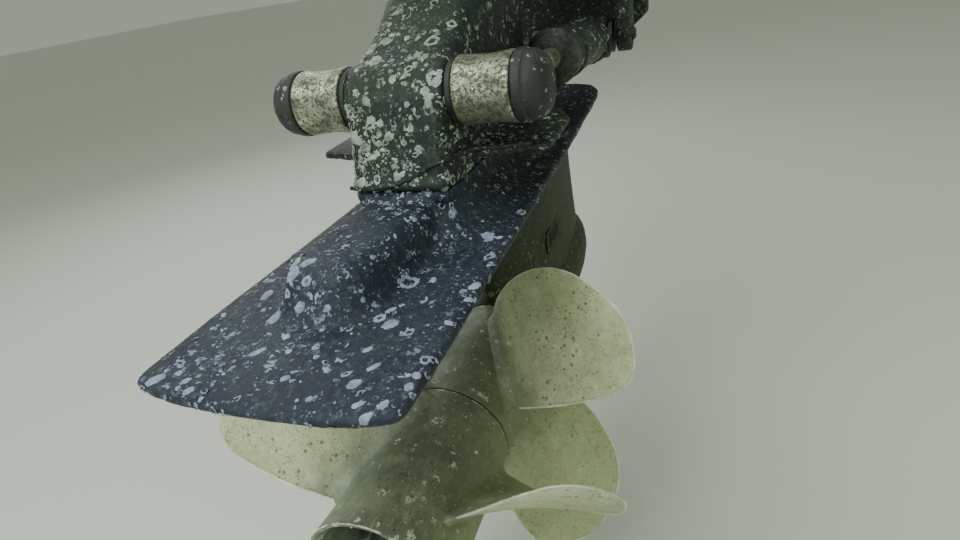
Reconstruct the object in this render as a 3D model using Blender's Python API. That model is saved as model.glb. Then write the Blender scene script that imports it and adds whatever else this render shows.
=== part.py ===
"""Motor-boat stern drive with twin contra-rotating propellers.

Frame: metres, +Z up, +Y forward to the boat, +X to starboard. The origin is on
the flat face of the transom shield that bolts to the boat's transom, so the
whole drive lies at negative Y. Run with blender --background --python part.py
"""
import math

import bmesh
import bpy
from mathutils import Matrix, Vector

# Axes of the moving pieces. Y is measured from the steering axis here, and
# seat_on_mount moves the finished drive so that the mount face lies at Y = 0.
TRANSOM_Y = 0.120
TILT_Y = 0.0
TILT_Z = 0.100
PIN_Y = -0.420
PIN_Z = -0.100
PROP_Z = -0.4105

# Clearances
FIT = 0.0003
SIDE_GAP = 0.001
HUB_GAP = 0.0025

# Transom shield, its yokes and the two swivel pins
SHIELD_HALF = 0.130
SHIELD_TOP = 0.262
SHIELD_BOTTOM = -0.185
SHIELD_FOOT_HALF = 0.078
SHIELD_THICK = 0.020
SHIELD_RIM = 0.009
SHIELD_RIM_WIDTH = 0.016
SHIELD_CORNER = 0.035
SHAFT_OPENING_R = 0.048
YOKE_HALF = 0.024
YOKE_THICK = 0.026
YOKE_GAP = 0.002
SWIVEL_R = 0.011
SWIVEL_HEAD_R = 0.017
SWIVEL_HEAD = 0.006

# Half widths along the cross pin: leg, boss, ram eye, base eye, fork
MID_HALF = 0.0415
BOSS_STANDOUT = 0.0005
EYE_GAP = 0.006
EYE_WIDTH = 0.044
ARM_GAP = 0.009
ARM_THICK = 0.020
PIN_BOSS_FACE = MID_HALF + BOSS_STANDOUT
EYE_INNER = PIN_BOSS_FACE + EYE_GAP
EYE_OUTER = EYE_INNER + EYE_WIDTH
CAP_SEAT = 0.006
PIN_PAST_SEAT = 0.008
PIN_REACH = EYE_OUTER + CAP_SEAT + PIN_PAST_SEAT
BASE_EYE_INNER = EYE_INNER + 2 * SIDE_GAP
BASE_EYE_OUTER = EYE_OUTER - 2 * SIDE_GAP
FORK_HALF = EYE_OUTER + ARM_GAP + ARM_THICK

# Steering fork
FORK_FRONT = 0.034
FORK_BACK = 0.022
BEAM_INNER = 0.096
BEAM_THICK = 0.026
FORK_CORNER = 0.022
WEB_THICK = 0.006
COLLAR_R = 0.050
COLLAR_LENGTH = 0.028
RAM_DROP = 0.232
RAM_LUG_R = 0.0215
RAM_PIN_R = 0.008
RAM_COLLAR_R = 0.021
RAM_COLLAR_GAP = 0.0015
RAM_COLLAR = 0.0055
TILT_PIN_R = 0.011
TILT_HEAD_R = 0.017
TILT_HEAD = 0.006

# Boot round the drive shaft
BOOT_R = 0.045
BOOT_VALLEY = 0.035
BOOT_FOLDS = 4

# Bell housing with the tilt lugs
BELL_R = 0.060
BELL_FRONT = TILT_Y - 0.030
LUG_R = 0.022
LUG_INNER = 0.052

# Upper gear housing and its top cover
UPPER_FRONT = TILT_Y - 0.070
UPPER_BACK = -0.366
UPPER_HALF = 0.062
UPPER_BOTTOM = -0.020
UPPER_TOP_FRONT = 0.118
UPPER_TOP_BACK = 0.140
COVER_HEIGHT = 0.024

# Driveshaft housing, the middle of the leg
SEAM_Z = -0.163
MID_FRONT = -0.130
MID_WIDEST = -0.365
MID_BACK = -0.467
PIN_BOSS_R = 0.027
LEDGE_TOP = -0.148
LEDGE_THICK = 0.006
LEDGE_PAST_PIN = 0.001
LEDGE_HALF = PIN_REACH + LEDGE_PAST_PIN
LEDGE_BACK = -0.403
LEDGE_FRONT = -0.285

# Gearcase: strut, plate, torpedo, skeg and the ridge on the plate
PLATE_TOP = -0.199
PLATE_THICK = 0.0075
PLATE_HALF = 0.090
PLATE_FRONT = 0.048
PLATE_BACK = -0.6715
PLATE_BOW = 0.012
PLATE_CORNER_BACK = PLATE_BACK + PLATE_BOW
PLATE_EDGE = 0.003
RIDGE_INSET = 0.0775
RIDGE_END = PLATE_BACK + RIDGE_INSET
RIDGE_HALF = 0.038
RIDGE_HEIGHT = 0.030
RIDGE_VEER = -0.008
TORPEDO_R = 0.0585
NOSE_Y = 0.030
STRUT_HALF = 0.045
STRUT_WIDEST = -0.200
SKEG_BOTTOM = -0.6155
SKEG_THICK = 0.009
INLET_LENGTH = 0.060
INLET_HEIGHT = 0.026
INLET_DEPTH = 0.0045
INLET_Y = -0.205
INLET_Z = -0.325
INLET_FACE = STRUT_HALF - 0.003
INLET_BARS = 6

# Propellers
HUB_FRONT = -0.325
HUB_JOINT = -0.469
HUB_EXIT = -0.6216
HUB_R = 0.056
EXIT_R = 0.059
HUB_WALL = 0.005
OUTER_SHAFT_R = 0.022
INNER_SHAFT_R = 0.014
SHAFT_SOCKET = 0.040
FRONT_NUT_R = 0.032
FRONT_NUT = 0.016
REAR_NUT_R = 0.021
REAR_NUT = 0.024
INNER_TUBE_R = 0.023
VANE_THICK = 0.006
VANES = 3
FRONT_BLADES = 4
REAR_BLADES = 3
FRONT_TIP_R = 0.198
REAR_TIP_R = 0.183
PITCH = 0.626
BLADE_ROOT_THICK = 0.010
BLADE_TIP_THICK = 0.0030
BLADE_EDGE_THICK = 0.0014
FRONT_ROOT_Y = -0.350
REAR_ROOT_Y = -0.483
FRONT_PHASE = 9.5
REAR_PHASE = -5.0

# Cross pin through the leg and the rams that hold it
CROSS_PIN_R = 0.0125
EYE_R = 0.026
WASHER_R = 0.0245
CAP_R = 0.0265
CAP_LENGTH = 0.024
ROD_R = 0.0105
NECK_R = 0.016
NECK_LENGTH = 0.008
BARREL_R = 0.0260
BARREL_BORE = 0.0165
BARREL_END_R = 0.0205
MOUTH = 0.185
ROD_END = 0.374
BORE_END = 0.396
GLAND_R = 0.0285
GLAND_LENGTH = 0.020
BAND_AT = 0.235
BAND_LENGTH = 0.007
BAND_R = 0.0285
BASE_EYE_R = 0.0275
BASE_EYE_BORE = 0.0180

# Anodes
ANODE_LENGTH = 0.044
ANODE_HALF = 0.024
ANODE_HEIGHT = 0.014
ANODE_INSET = 0.016
ANODE_BACK = PLATE_BACK + ANODE_INSET
SHIELD_ANODE_HALF = 0.040
SHIELD_ANODE_HEIGHT = 0.022
SHIELD_ANODE_THICK = 0.012

SIDES = (("port", -1), ("starboard", 1))
ROUND = 28
SMALL_ROUND = 20
BORE_SIDES = 16
HUB_SIDES = 36
COLOURS = {
    "black_paint": ((0.020, 0.024, 0.026), 0.55, 0.0),
    "plate_paint": ((0.022, 0.022, 0.040), 0.50, 0.0),
    "dark_metal": ((0.06, 0.065, 0.06), 0.5, 0.7),
    "bright_metal": ((0.62, 0.63, 0.52), 0.35, 1.0),
    "blade_metal": ((0.33, 0.34, 0.24), 0.45, 0.6),
    "rubber": ((0.012, 0.012, 0.012), 0.8, 0.0),
    "zinc": ((0.35, 0.36, 0.36), 0.7, 0.4),
}


def clear_scene():
    """Remove whatever the open scene holds."""
    for obj in list(bpy.data.objects):
        bpy.data.objects.remove(obj, do_unlink=True)


def make_material(node, finish):
    """A Principled material of the object's own, from a named finish."""
    colour, roughness, metallic = COLOURS[finish]
    mat = bpy.data.materials.new(node)
    mat.use_nodes = True
    shader = mat.node_tree.nodes["Principled BSDF"]
    shader.inputs["Base Color"].default_value = (*colour, 1.0)
    shader.inputs["Roughness"].default_value = roughness
    shader.inputs["Metallic"].default_value = metallic
    return mat


def shape(name, bm):
    """Turn a bmesh into an object with outward faces."""
    bmesh.ops.recalc_face_normals(bm, faces=bm.faces)
    mesh = bpy.data.meshes.new(name)
    bm.to_mesh(mesh)
    bm.free()
    obj = bpy.data.objects.new(name, mesh)
    bpy.context.scene.collection.objects.link(obj)
    return obj


def combine(base, tool, operation):
    """Apply one exact Boolean of tool on base and delete the tool."""
    mod = base.modifiers.new("combine", "BOOLEAN")
    mod.operation = operation
    mod.solver = "EXACT"
    mod.object = tool
    bpy.context.view_layer.update()
    graph = bpy.context.evaluated_depsgraph_get()
    mesh = bpy.data.meshes.new_from_object(base.evaluated_get(graph))
    base.modifiers.clear()
    base.data = mesh
    bpy.data.objects.remove(tool, do_unlink=True)
    return base


def add(base, *tools):
    """Fuse each tool to the base."""
    for tool in tools:
        combine(base, tool, "UNION")
    return base


def cut(base, *tools):
    """Cut each tool out of the base."""
    for tool in tools:
        combine(base, tool, "DIFFERENCE")
    return base


def finish(obj, name, finish_name, parent, smooth=35.0):
    """Name, shade and dress an object and hang it on its joint's empty."""
    obj.name = name
    obj.data.name = name
    obj.data.shade_smooth()
    obj.data.set_sharp_from_angle(angle=math.radians(smooth))
    obj.data.materials.clear()
    obj.data.materials.append(make_material(name, finish_name))
    if parent is not None:
        obj.data.transform(Matrix.Translation(-world_place(parent)))
        obj.parent = parent
    return obj


def world_place(empty):
    """Where an unturned empty lies in the frame, through its parents."""
    place = Vector((0.0, 0.0, 0.0))
    while empty is not None:
        place += empty.location
        empty = empty.parent
    return place


def axis_empty(name, place, parent=None):
    """An empty on a joint's axis."""
    empty = bpy.data.objects.new(name, None)
    empty.empty_display_size = 0.05
    bpy.context.scene.collection.objects.link(empty)
    empty.parent = parent
    empty.location = Vector(place) - world_place(parent)
    return empty


def loft(rings, name="loft"):
    """A closed solid through rings of points, capped at both ends."""
    bm = bmesh.new()
    rows = [[bm.verts.new(p) for p in ring] for ring in rings]
    count = len(rows[0])
    for low, high in zip(rows, rows[1:]):
        for i in range(count):
            j = (i + 1) % count
            bm.faces.new((low[i], low[j], high[j], high[i]))
    bm.faces.new(list(reversed(rows[0])))
    bm.faces.new(rows[-1])
    return shape(name, bm)


def turned(profile, centre, axis, count=ROUND, name="turned"):
    """A solid of revolution: profile is (distance along the axis, radius)."""
    axis = Vector(axis).normalized()
    side = axis.orthogonal().normalized()
    if abs(axis.z) < 0.9:
        side = (Vector((0, 0, 1)) - axis * axis.z).normalized()
    other = axis.cross(side)
    rings = []
    for along, radius in profile:
        ring = []
        for k in range(count):
            a = 2 * math.pi * (k + 0.5) / count
            ring.append(Vector(centre) + axis * along + (side * math.cos(a) + other * math.sin(a)) * radius)
        rings.append(ring)
    return loft(rings, name)


def tube(start, end, outer, inner, centre, axis, count=ROUND):
    """A plain tube between two distances along an axis."""
    low, high = sorted((start, end))
    body = turned([(low, outer), (high, outer)], centre, axis, count)
    core = turned([(low - 0.01, inner), (high + 0.01, inner)], centre, axis, BORE_SIDES)
    return cut(body, core)


def box(low, high):
    """A plain block between two corners."""
    xs, ys, zs = ((low[i], high[i]) for i in range(3))
    bottom = [(xs[0], ys[0], zs[0]), (xs[1], ys[0], zs[0]), (xs[1], ys[1], zs[0]), (xs[0], ys[1], zs[0])]
    top = [(x, y, zs[1]) for x, y, _ in bottom]
    return loft([bottom, top], "box")


def bevelled(obj, width, segments=2, angle=30.0):
    """Round the sharp edges of an object and keep the result."""
    bm = bmesh.new()
    bm.from_mesh(obj.data)
    bmesh.ops.remove_doubles(bm, verts=bm.verts, dist=1e-6)
    edges = [e for e in bm.edges if len(e.link_faces) == 2 and e.calc_face_angle() > math.radians(angle)]
    bmesh.ops.bevel(bm, geom=edges, offset=width, segments=segments, profile=0.5, affect="EDGES",
                    clamp_overlap=True)
    bm.to_mesh(obj.data)
    bm.free()
    return obj


def outline_xz(points, y0, y1):
    """A slab whose outline is given in X and Z, between two Y places."""
    return loft([[(x, y0, z) for x, z in points], [(x, y1, z) for x, z in points]], "slab")


def arc(cx, cz, radius, start, end, steps):
    """Points on an arc, angles in degrees from +X towards +Z."""
    out = []
    for k in range(steps + 1):
        a = math.radians(start + (end - start) * k / steps)
        out.append((cx + radius * math.cos(a), cz + radius * math.sin(a)))
    return out


def section(z, front, middle, back, half, front_power=2.0, back_power=2.0, count=ROUND):
    """A level ring, widest at middle: round or blunt at each end by its power."""
    ring = []
    for k in range(count):
        a = 2 * math.pi * (k + 0.5) / count
        c, s = math.cos(a), math.sin(a)
        power = front_power if c > 0 else back_power
        reach = (front - middle) if c > 0 else (middle - back)
        x = half * math.copysign(abs(s) ** (2.0 / power), s)
        y = middle + reach * math.copysign(abs(c) ** (2.0 / power), c)
        ring.append((x, y, z))
    return ring


def shield_outline(inset):
    """The shield's rounded outline, square above and drawn in to its foot."""
    half = SHIELD_HALF - inset
    foot = SHIELD_FOOT_HALF - inset
    top = SHIELD_TOP - inset
    bottom = SHIELD_BOTTOM + inset
    r = SHIELD_CORNER - inset * 0.5
    shoulder = bottom + 0.5 * SHIELD_HALF
    right = arc(foot - r, bottom + r, r, -90, -30, 3)
    right += [(half, shoulder)]
    right += arc(half - r, top - r, r, 0, 90, 5)
    return right + [(-x, z) for x, z in reversed(right)]


def yoke(z, outward):
    """An arm from the shield to the steering axis, on one side of the fork."""
    low = min(z, z + outward * YOKE_THICK)
    high = low + YOKE_THICK
    front = TRANSOM_Y - SHIELD_THICK / 2
    points = [(YOKE_HALF * 1.7, front), (-YOKE_HALF * 1.7, front)]
    for k in range(9):
        a = math.pi + math.pi * k / 8
        points.append((YOKE_HALF * math.cos(a), TILT_Y + YOKE_HALF * math.sin(a)))
    return loft([[(x, y, low) for x, y in points], [(x, y, high) for x, y in points]], "yoke")


def swivel_levels():
    """Heights where the upper and the lower yoke meet the fork."""
    upper = TILT_Z + BEAM_INNER + BEAM_THICK + YOKE_GAP
    lower = TILT_Z - BEAM_INNER - BEAM_THICK - YOKE_GAP
    return upper, lower


def build_shield():
    """Transom shield: flat plate with a raised rim, two yokes, a shaft opening."""
    back = TRANSOM_Y - SHIELD_THICK
    plate = outline_xz(shield_outline(0.0), TRANSOM_Y, back)
    rim = outline_xz(shield_outline(0.0), back + SHIELD_THICK * 0.5, back - SHIELD_RIM)
    well = outline_xz(shield_outline(SHIELD_RIM_WIDTH), back + SHIELD_THICK * 0.75, back - 2 * SHIELD_RIM)
    plate = add(plate, cut(rim, well))
    upper, lower = swivel_levels()
    plate = add(plate, yoke(upper, 1), yoke(lower, -1))
    hole = turned([(-0.05, SHAFT_OPENING_R), (0.05, SHAFT_OPENING_R)], (0, TRANSOM_Y, TILT_Z), (0, 1, 0))
    plate = cut(plate, hole)
    bore = turned([(-0.4, SWIVEL_R + FIT), (0.4, SWIVEL_R + FIT)], (0, TILT_Y, 0), (0, 0, 1), BORE_SIDES)
    return finish(cut(plate, bore), "transom_shield", "black_paint", None)


def build_swivel_pins():
    """Headed pins that join the yokes to the fork on the steering axis."""
    upper, lower = swivel_levels()
    for name, level, out in (("upper_swivel_pin", upper, 1), ("lower_swivel_pin", lower, -1)):
        seat = YOKE_THICK + FIT
        depth = BEAM_THICK + YOKE_GAP - SIDE_GAP
        profile = [(-depth, SWIVEL_R), (seat, SWIVEL_R), (seat, SWIVEL_HEAD_R),
                   (seat + SWIVEL_HEAD * 0.7, SWIVEL_HEAD_R), (seat + SWIVEL_HEAD, SWIVEL_HEAD_R * 0.8)]
        pin = turned(profile, (0, TILT_Y, level), (0, 0, out), BORE_SIDES)
        finish(pin, name, "dark_metal", None)


def build_shield_anode():
    """Sacrificial bar on the lower end of the shield."""
    back = TRANSOM_Y - SHIELD_THICK - FIT
    low = SHIELD_BOTTOM + 2.2 * SHIELD_RIM_WIDTH
    bar = box((-SHIELD_ANODE_HALF, back - SHIELD_ANODE_THICK, low),
              (SHIELD_ANODE_HALF, back, low + SHIELD_ANODE_HEIGHT))
    finish(bevelled(bar, 0.002, 1), "shield_anode", "zinc", None)


def fork_frame(half, low, high, corner):
    """A rounded rectangle in X and Z."""
    right = arc(half - corner, low + corner, corner, -90, 0, 4)
    right += arc(half - corner, high - corner, corner, 0, 90, 4)
    return right + [(-x, z) for x, z in reversed(right)]


def build_fork(steer):
    """Steering fork: a frame round the drive shaft with a leg down each side."""
    y0, y1 = TILT_Y - FORK_BACK, TILT_Y + FORK_FRONT
    outer = BEAM_INNER + BEAM_THICK
    fork = outline_xz(fork_frame(FORK_HALF, TILT_Z - outer, TILT_Z + outer, FORK_CORNER), y0, y1)
    inner_half = FORK_HALF - ARM_THICK
    space = outline_xz(fork_frame(inner_half, TILT_Z - BEAM_INNER, TILT_Z + BEAM_INNER, FORK_CORNER * 0.6),
                       y0 - 0.01, y1 + 0.01)
    fork = cut(fork, space)
    web_outer = outer - 0.006
    web = outline_xz(fork_frame(FORK_HALF - 0.004, TILT_Z - web_outer, TILT_Z + web_outer, FORK_CORNER),
                     y1 - WEB_THICK, y1 - 0.0006)
    collar = turned([(0.0, COLLAR_R), (COLLAR_LENGTH * 0.8, COLLAR_R), (COLLAR_LENGTH, COLLAR_R - 0.005)],
                    (0, y1 - 0.5 * WEB_THICK, TILT_Z), (0, 1, 0))
    fork = add(fork, web, collar)
    ram_z = TILT_Z - RAM_DROP
    for _, side in SIDES:
        x0, x1 = sorted((side * inner_half, side * FORK_HALF))
        arm_top = TILT_Z - BEAM_INNER - 0.01
        arm = [(-FORK_BACK + 0.001, arm_top), (FORK_FRONT - 0.001, arm_top)]
        arm += [(y, z + ram_z) for y, z in arc(0, 0, RAM_LUG_R, 0, -180, 8)]
        leg = loft([[(x0 + 0.0004, TILT_Y + y, z) for y, z in arm],
                    [(x1 - 0.0004, TILT_Y + y, z) for y, z in arm]], "arm")
        fork = add(fork, leg)
    for place, radius in (((0, TILT_Y, TILT_Z), TILT_PIN_R), ((0, TILT_Y, ram_z), RAM_PIN_R)):
        fork = cut(fork, turned([(-0.3, radius + FIT), (0.3, radius + FIT)], place, (1, 0, 0), BORE_SIDES))
    for out in (1, -1):
        start = BEAM_INNER - 0.01
        bore = turned([(start, SWIVEL_R + FIT), (start + 0.08, SWIVEL_R + FIT)],
                      (0, TILT_Y, TILT_Z), (0, 0, out), BORE_SIDES)
        fork = cut(fork, bore)
    finish(fork, "steering_fork", "black_paint", steer)


def build_fork_pins(steer):
    """Tilt pins, one a side, and the long pin that the rams push against."""
    for word, side in SIDES:
        start = LUG_INNER + 0.006
        seat = FORK_HALF + FIT
        profile = [(start, TILT_PIN_R), (seat, TILT_PIN_R), (seat, TILT_HEAD_R),
                   (seat + TILT_HEAD * 0.7, TILT_HEAD_R), (seat + TILT_HEAD, TILT_HEAD_R * 0.8)]
        pin = turned(profile, (0, TILT_Y, TILT_Z), (side, 0, 0), BORE_SIDES)
        finish(pin, word + "_tilt_pin", "dark_metal", steer)
    half = []
    for start in (BASE_EYE_INNER - RAM_COLLAR_GAP - RAM_COLLAR, BASE_EYE_OUTER + RAM_COLLAR_GAP):
        end = start + RAM_COLLAR
        half += [(start, RAM_PIN_R), (start, RAM_COLLAR_R), (end, RAM_COLLAR_R), (end, RAM_PIN_R)]
    half += [(FORK_HALF + 0.002, RAM_PIN_R), (FORK_HALF + 0.004, RAM_PIN_R - 0.002)]
    profile = [(-x, radius) for x, radius in reversed(half)] + half
    pin = turned(profile, (0, TILT_Y, TILT_Z - RAM_DROP), (1, 0, 0), BORE_SIDES)
    finish(pin, "fork_ram_pin", "dark_metal", steer)


def build_boot(steer):
    """Folded rubber boot between the fork's web and the bell housing."""
    front = TILT_Y + FORK_FRONT - WEB_THICK - FIT
    length = front - BELL_FRONT - FIT
    profile = [(0.0, BOOT_VALLEY)]
    for k in range(BOOT_FOLDS):
        profile.append((length * (k + 0.5) / BOOT_FOLDS, BOOT_R))
        profile.append((length * (k + 1) / BOOT_FOLDS, BOOT_VALLEY))
    boot = turned(profile, (0, front, TILT_Z), (0, -1, 0), SMALL_ROUND)
    finish(boot, "driveshaft_boot", "rubber", steer, 20)


def build_bell(tilt):
    """Bell housing: the round mouth of the leg with a lug for each tilt pin."""
    depth = BELL_FRONT - UPPER_FRONT - FIT
    bell = turned([(0, BELL_R - 0.002), (0.002, BELL_R), (0.009, BELL_R), (0.010, BELL_R - 0.004),
                   (depth, BELL_R - 0.004)], (0, BELL_FRONT, TILT_Z), (0, -1, 0))
    for _, side in SIDES:
        outer = FORK_HALF - ARM_THICK - SIDE_GAP
        x0, x1 = sorted((side * LUG_INNER, side * outer))
        lug_back = BELL_FRONT - TILT_Y - depth
        lug = [(lug_back, 0.75 * LUG_R), (lug_back, -0.75 * LUG_R)]
        lug += [(-y, z) for y, z in arc(0, 0, LUG_R, 270, 90, 8)]
        block = loft([[(x, TILT_Y + y, TILT_Z + z) for y, z in lug] for x in (x0, x1)])
        bell = add(bell, block)
    clear = turned([(0.0, LUG_INNER + 0.0005), (BELL_FRONT - TILT_Y + LUG_R, LUG_INNER + 0.0005)],
                   (0, BELL_FRONT, TILT_Z), (0, 1, 0))
    bell = cut(bell, clear)
    bore_r = TILT_PIN_R + FIT
    bore = turned([(-0.3, bore_r), (0.3, bore_r)], (0, TILT_Y, TILT_Z), (1, 0, 0), BORE_SIDES)
    bell = cut(bell, bore)
    finish(bell, "bell_housing", "black_paint", tilt)


def upper_top(y):
    """Height of the sloping joint between the gear housing and its cover."""
    share = (UPPER_FRONT - y) / (UPPER_FRONT - UPPER_BACK)
    return UPPER_TOP_FRONT + (UPPER_TOP_BACK - UPPER_TOP_FRONT) * share


def sloped(ring, drop):
    """A ring laid on the sloping joint, drop below it."""
    return [(x, y, upper_top(y) - drop) for x, y, _ in ring]


def build_upper_housing(tilt):
    """Upper gear housing, a rounded box on top of the leg."""
    middle = 0.5 * (UPPER_FRONT + UPPER_BACK)
    span = UPPER_TOP_FRONT - UPPER_BOTTOM
    low = UPPER_BOTTOM
    waist = 0.5 * (MID_FRONT + UPPER_BACK)
    wide = UPPER_HALF - 0.003
    rings = [section(low + FIT, MID_FRONT, waist, UPPER_BACK + 0.014, MID_HALF + 0.005, 2.8, 3.2),
             section(low + 0.010, MID_FRONT, waist, UPPER_BACK + 0.012, MID_HALF + 0.006, 2.8, 3.2),
             section(low + 0.26 * span, UPPER_FRONT - 0.028, middle, UPPER_BACK, wide, 3.2, 3.2),
             section(low + 0.40 * span, UPPER_FRONT, middle, UPPER_BACK, UPPER_HALF, 3.6, 3.2)]
    top = section(0, UPPER_FRONT, middle, UPPER_BACK, UPPER_HALF, 3.6, 3.2)
    rim = section(0, UPPER_FRONT, middle, UPPER_BACK - 0.003, UPPER_HALF + 0.003, 3.6, 3.2)
    rings += [sloped(top, 0.012), sloped(rim, 0.009), sloped(rim, 0.0)]
    finish(loft(rings), "upper_gear_housing", "black_paint", tilt)


def build_cover(tilt):
    """Top cover, a low dome that follows the sloping joint."""
    middle = 0.5 * (UPPER_FRONT + UPPER_BACK)
    rings = []
    for share, rise in ((1.0, 0.0), (1.0, 0.30), (0.96, 0.55), (0.86, 0.80), (0.66, 0.95), (0.38, 1.0)):
        front = middle + (UPPER_FRONT - middle) * share
        back = middle + (UPPER_BACK - 0.003 - middle) * share
        ring = section(0, front, middle, back, (UPPER_HALF + 0.003) * share, 3.6, 3.2)
        rings.append(sloped(ring, -FIT - COVER_HEIGHT * rise))
    finish(loft(rings), "top_cover", "black_paint", tilt)


def build_driveshaft_housing(tilt):
    """Middle of the leg: flat behind, with a boss for the cross pin each side."""
    top = UPPER_BOTTOM - FIT
    bottom = SEAM_Z + FIT
    square = 14.0
    rings = [section(bottom, MID_FRONT, MID_WIDEST, MID_BACK, MID_HALF + 0.002, 2.0, square),
             section(bottom + 0.006, MID_FRONT, MID_WIDEST, MID_BACK, MID_HALF + 0.002, 2.0, square),
             section(bottom + 0.009, MID_FRONT, MID_WIDEST, MID_BACK + 0.003, MID_HALF, 2.0, square),
             section(bottom + 0.034, MID_FRONT, MID_WIDEST, MID_BACK + 0.010, MID_HALF, 2.0, square),
             section(PIN_Z + 0.004, MID_FRONT, MID_WIDEST, MID_BACK + 0.017, MID_HALF, 2.0, square),
             section(PIN_Z + 0.020, MID_FRONT, -0.345, -0.436, MID_HALF, 2.0, 10.0),
             section(PIN_Z + 0.045, MID_FRONT, -0.310, -0.386, MID_HALF, 2.1, 7.0),
             section(top - 0.012, MID_FRONT, -0.275, -0.356, MID_HALF + 0.002, 2.6, 5.0),
             section(top - 0.009, MID_FRONT, -0.272, -0.354, MID_HALF + 0.005, 2.8, 4.0),
             section(top, MID_FRONT, -0.272, -0.354, MID_HALF + 0.005, 2.8, 4.0)]
    leg = loft(rings)
    boss = turned([(-PIN_BOSS_FACE, PIN_BOSS_R - 0.002), (-PIN_BOSS_FACE + 0.002, PIN_BOSS_R),
                   (PIN_BOSS_FACE - 0.002, PIN_BOSS_R), (PIN_BOSS_FACE, PIN_BOSS_R - 0.002)],
                  (0, PIN_Y, PIN_Z), (1, 0, 0), SMALL_ROUND)
    leg = add(leg, boss, ledge(1), ledge(-1))
    bore_r = CROSS_PIN_R + FIT
    bore = turned([(-PIN_REACH, bore_r), (PIN_REACH, bore_r)], (0, PIN_Y, PIN_Z), (1, 0, 0), BORE_SIDES)
    finish(cut(leg, bore), "driveshaft_housing", "black_paint", tilt)


def ledge(side):
    """Flat ledge that stands out on one side of the leg, above the plate."""
    low = LEDGE_TOP - LEDGE_THICK
    back, front = LEDGE_BACK - 0.017, LEDGE_FRONT + 0.020
    points = [(0.5 * MID_HALF, back), (MID_HALF, back), (LEDGE_HALF - 0.003, LEDGE_BACK),
              (LEDGE_HALF, LEDGE_BACK + 0.003), (LEDGE_HALF, LEDGE_FRONT - 0.045),
              (LEDGE_HALF - 0.018, LEDGE_FRONT - 0.008), (MID_HALF, front), (0.5 * MID_HALF, front)]
    ring = [(side * x, y) for x, y in points]
    return loft([[(x, y, low) for x, y in ring], [(x, y, LEDGE_TOP) for x, y in ring]], "ledge")


def plate_outline():
    """Half widths of the plate from its front to its trailing edge."""
    shares = [(0.0, 0.18), (0.006, 0.36), (0.020, 0.56), (0.040, 0.70), (0.070, 0.80), (0.120, 0.86),
              (0.280, 0.895), (0.420, 0.935), (0.560, 0.955), (0.720, 0.975), (0.850, 0.995), (0.910, 1.0),
              (0.990, 1.0), (0.998, 0.992)]
    span = PLATE_CORNER_BACK - PLATE_FRONT
    stations = [(PLATE_FRONT + share * span, half * PLATE_HALF) for share, half in shares]
    for share in (0.96, 0.88, 0.75, 0.5, 0.25):
        y = PLATE_BACK + (PLATE_CORNER_BACK - PLATE_BACK) * share ** 3.5
        stations.append((y, share * PLATE_HALF))
    right = [(x, y) for y, x in stations]
    return right + [(0.0, PLATE_BACK)] + [(-x, y) for x, y in reversed(right)]


def build_plate():
    """Anti-ventilation plate with a rounded edge."""
    bottom = PLATE_TOP - PLATE_THICK
    rings = []
    for z, inset in ((PLATE_TOP, PLATE_EDGE), (PLATE_TOP - PLATE_EDGE * 0.35, PLATE_EDGE * 0.3),
                     (PLATE_TOP - PLATE_EDGE, 0.0), (bottom + PLATE_EDGE, 0.0),
                     (bottom + PLATE_EDGE * 0.35, PLATE_EDGE * 0.3), (bottom, PLATE_EDGE)):
        ring = []
        for x, y in plate_outline():
            scale_x = 1.0 - inset / PLATE_HALF
            centre = 0.5 * (PLATE_BACK + PLATE_FRONT)
            scale_y = 1.0 - inset / abs(centre - PLATE_BACK)
            ring.append((x * scale_x, centre + (y - centre) * scale_y, z))
        rings.append(ring)
    return loft(rings, "plate")


def build_strut():
    """Strut from the seam, through a fillet on the plate, to the torpedo."""
    top = SEAM_Z - FIT
    flange = MID_HALF + 0.002
    stations = [(top, 0.010, 0.0, 0.0, 12.0), (top - 0.006, 0.012, 0.0, 0.0, 12.0),
                (top - 0.009, 0.014, 0.002, -0.001, 12.0), (top - 0.018, 0.018, -0.001, 0.002, 7.0),
                (PLATE_TOP + 0.010, 0.024, -0.014, 0.010, 4.6),
                (PLATE_TOP + 0.0042, 0.028, -0.024, 0.019, 4.0),
                (PLATE_TOP + 0.0010, 0.030, -0.037, 0.030, 3.4),
                (PLATE_TOP - 0.0035, 0.031, -0.043, 0.034, 3.2)]
    rings = []
    for z, front, back, wider, square in stations:
        ring = section(z, MID_FRONT + front, MID_WIDEST, MID_BACK + back, flange + wider, 2.2, square)
        rings.append(ring)
    upper = loft(rings, "strut_above")
    stations = [(PLATE_TOP - 0.0045, -0.035, -0.392, 0.0), (PLATE_TOP - 0.022, -0.022, -0.378, 0.0),
                (PLATE_TOP - 0.060, -0.010, -0.352, 0.0), (PLATE_TOP - 0.110, -0.002, -0.334, 0.0),
                (PROP_Z + 0.046, 0.002, -0.326, 0.002), (PROP_Z + 0.020, 0.0, -0.318, 0.004)]
    rings = []
    for z, front, back, wider in stations:
        rings.append(section(z, front, STRUT_WIDEST, back, STRUT_HALF + wider, 2.6, 1.7))
    lower = loft(list(reversed(rings)), "strut_below")
    return upper, lower


def build_torpedo():
    """Torpedo with a bullet nose, turned about the propeller axis."""
    profile = [(0.0, 0.0030), (0.003, 0.0110), (0.012, 0.0215), (0.028, 0.0325), (0.052, 0.0430),
               (0.085, 0.0520), (0.125, 0.0570), (0.165, TORPEDO_R), (0.270, TORPEDO_R)]
    profile.append((NOSE_Y - HUB_FRONT, HUB_R))
    return turned(profile, (0, NOSE_Y, PROP_Z), (0, -1, 0))


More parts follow.
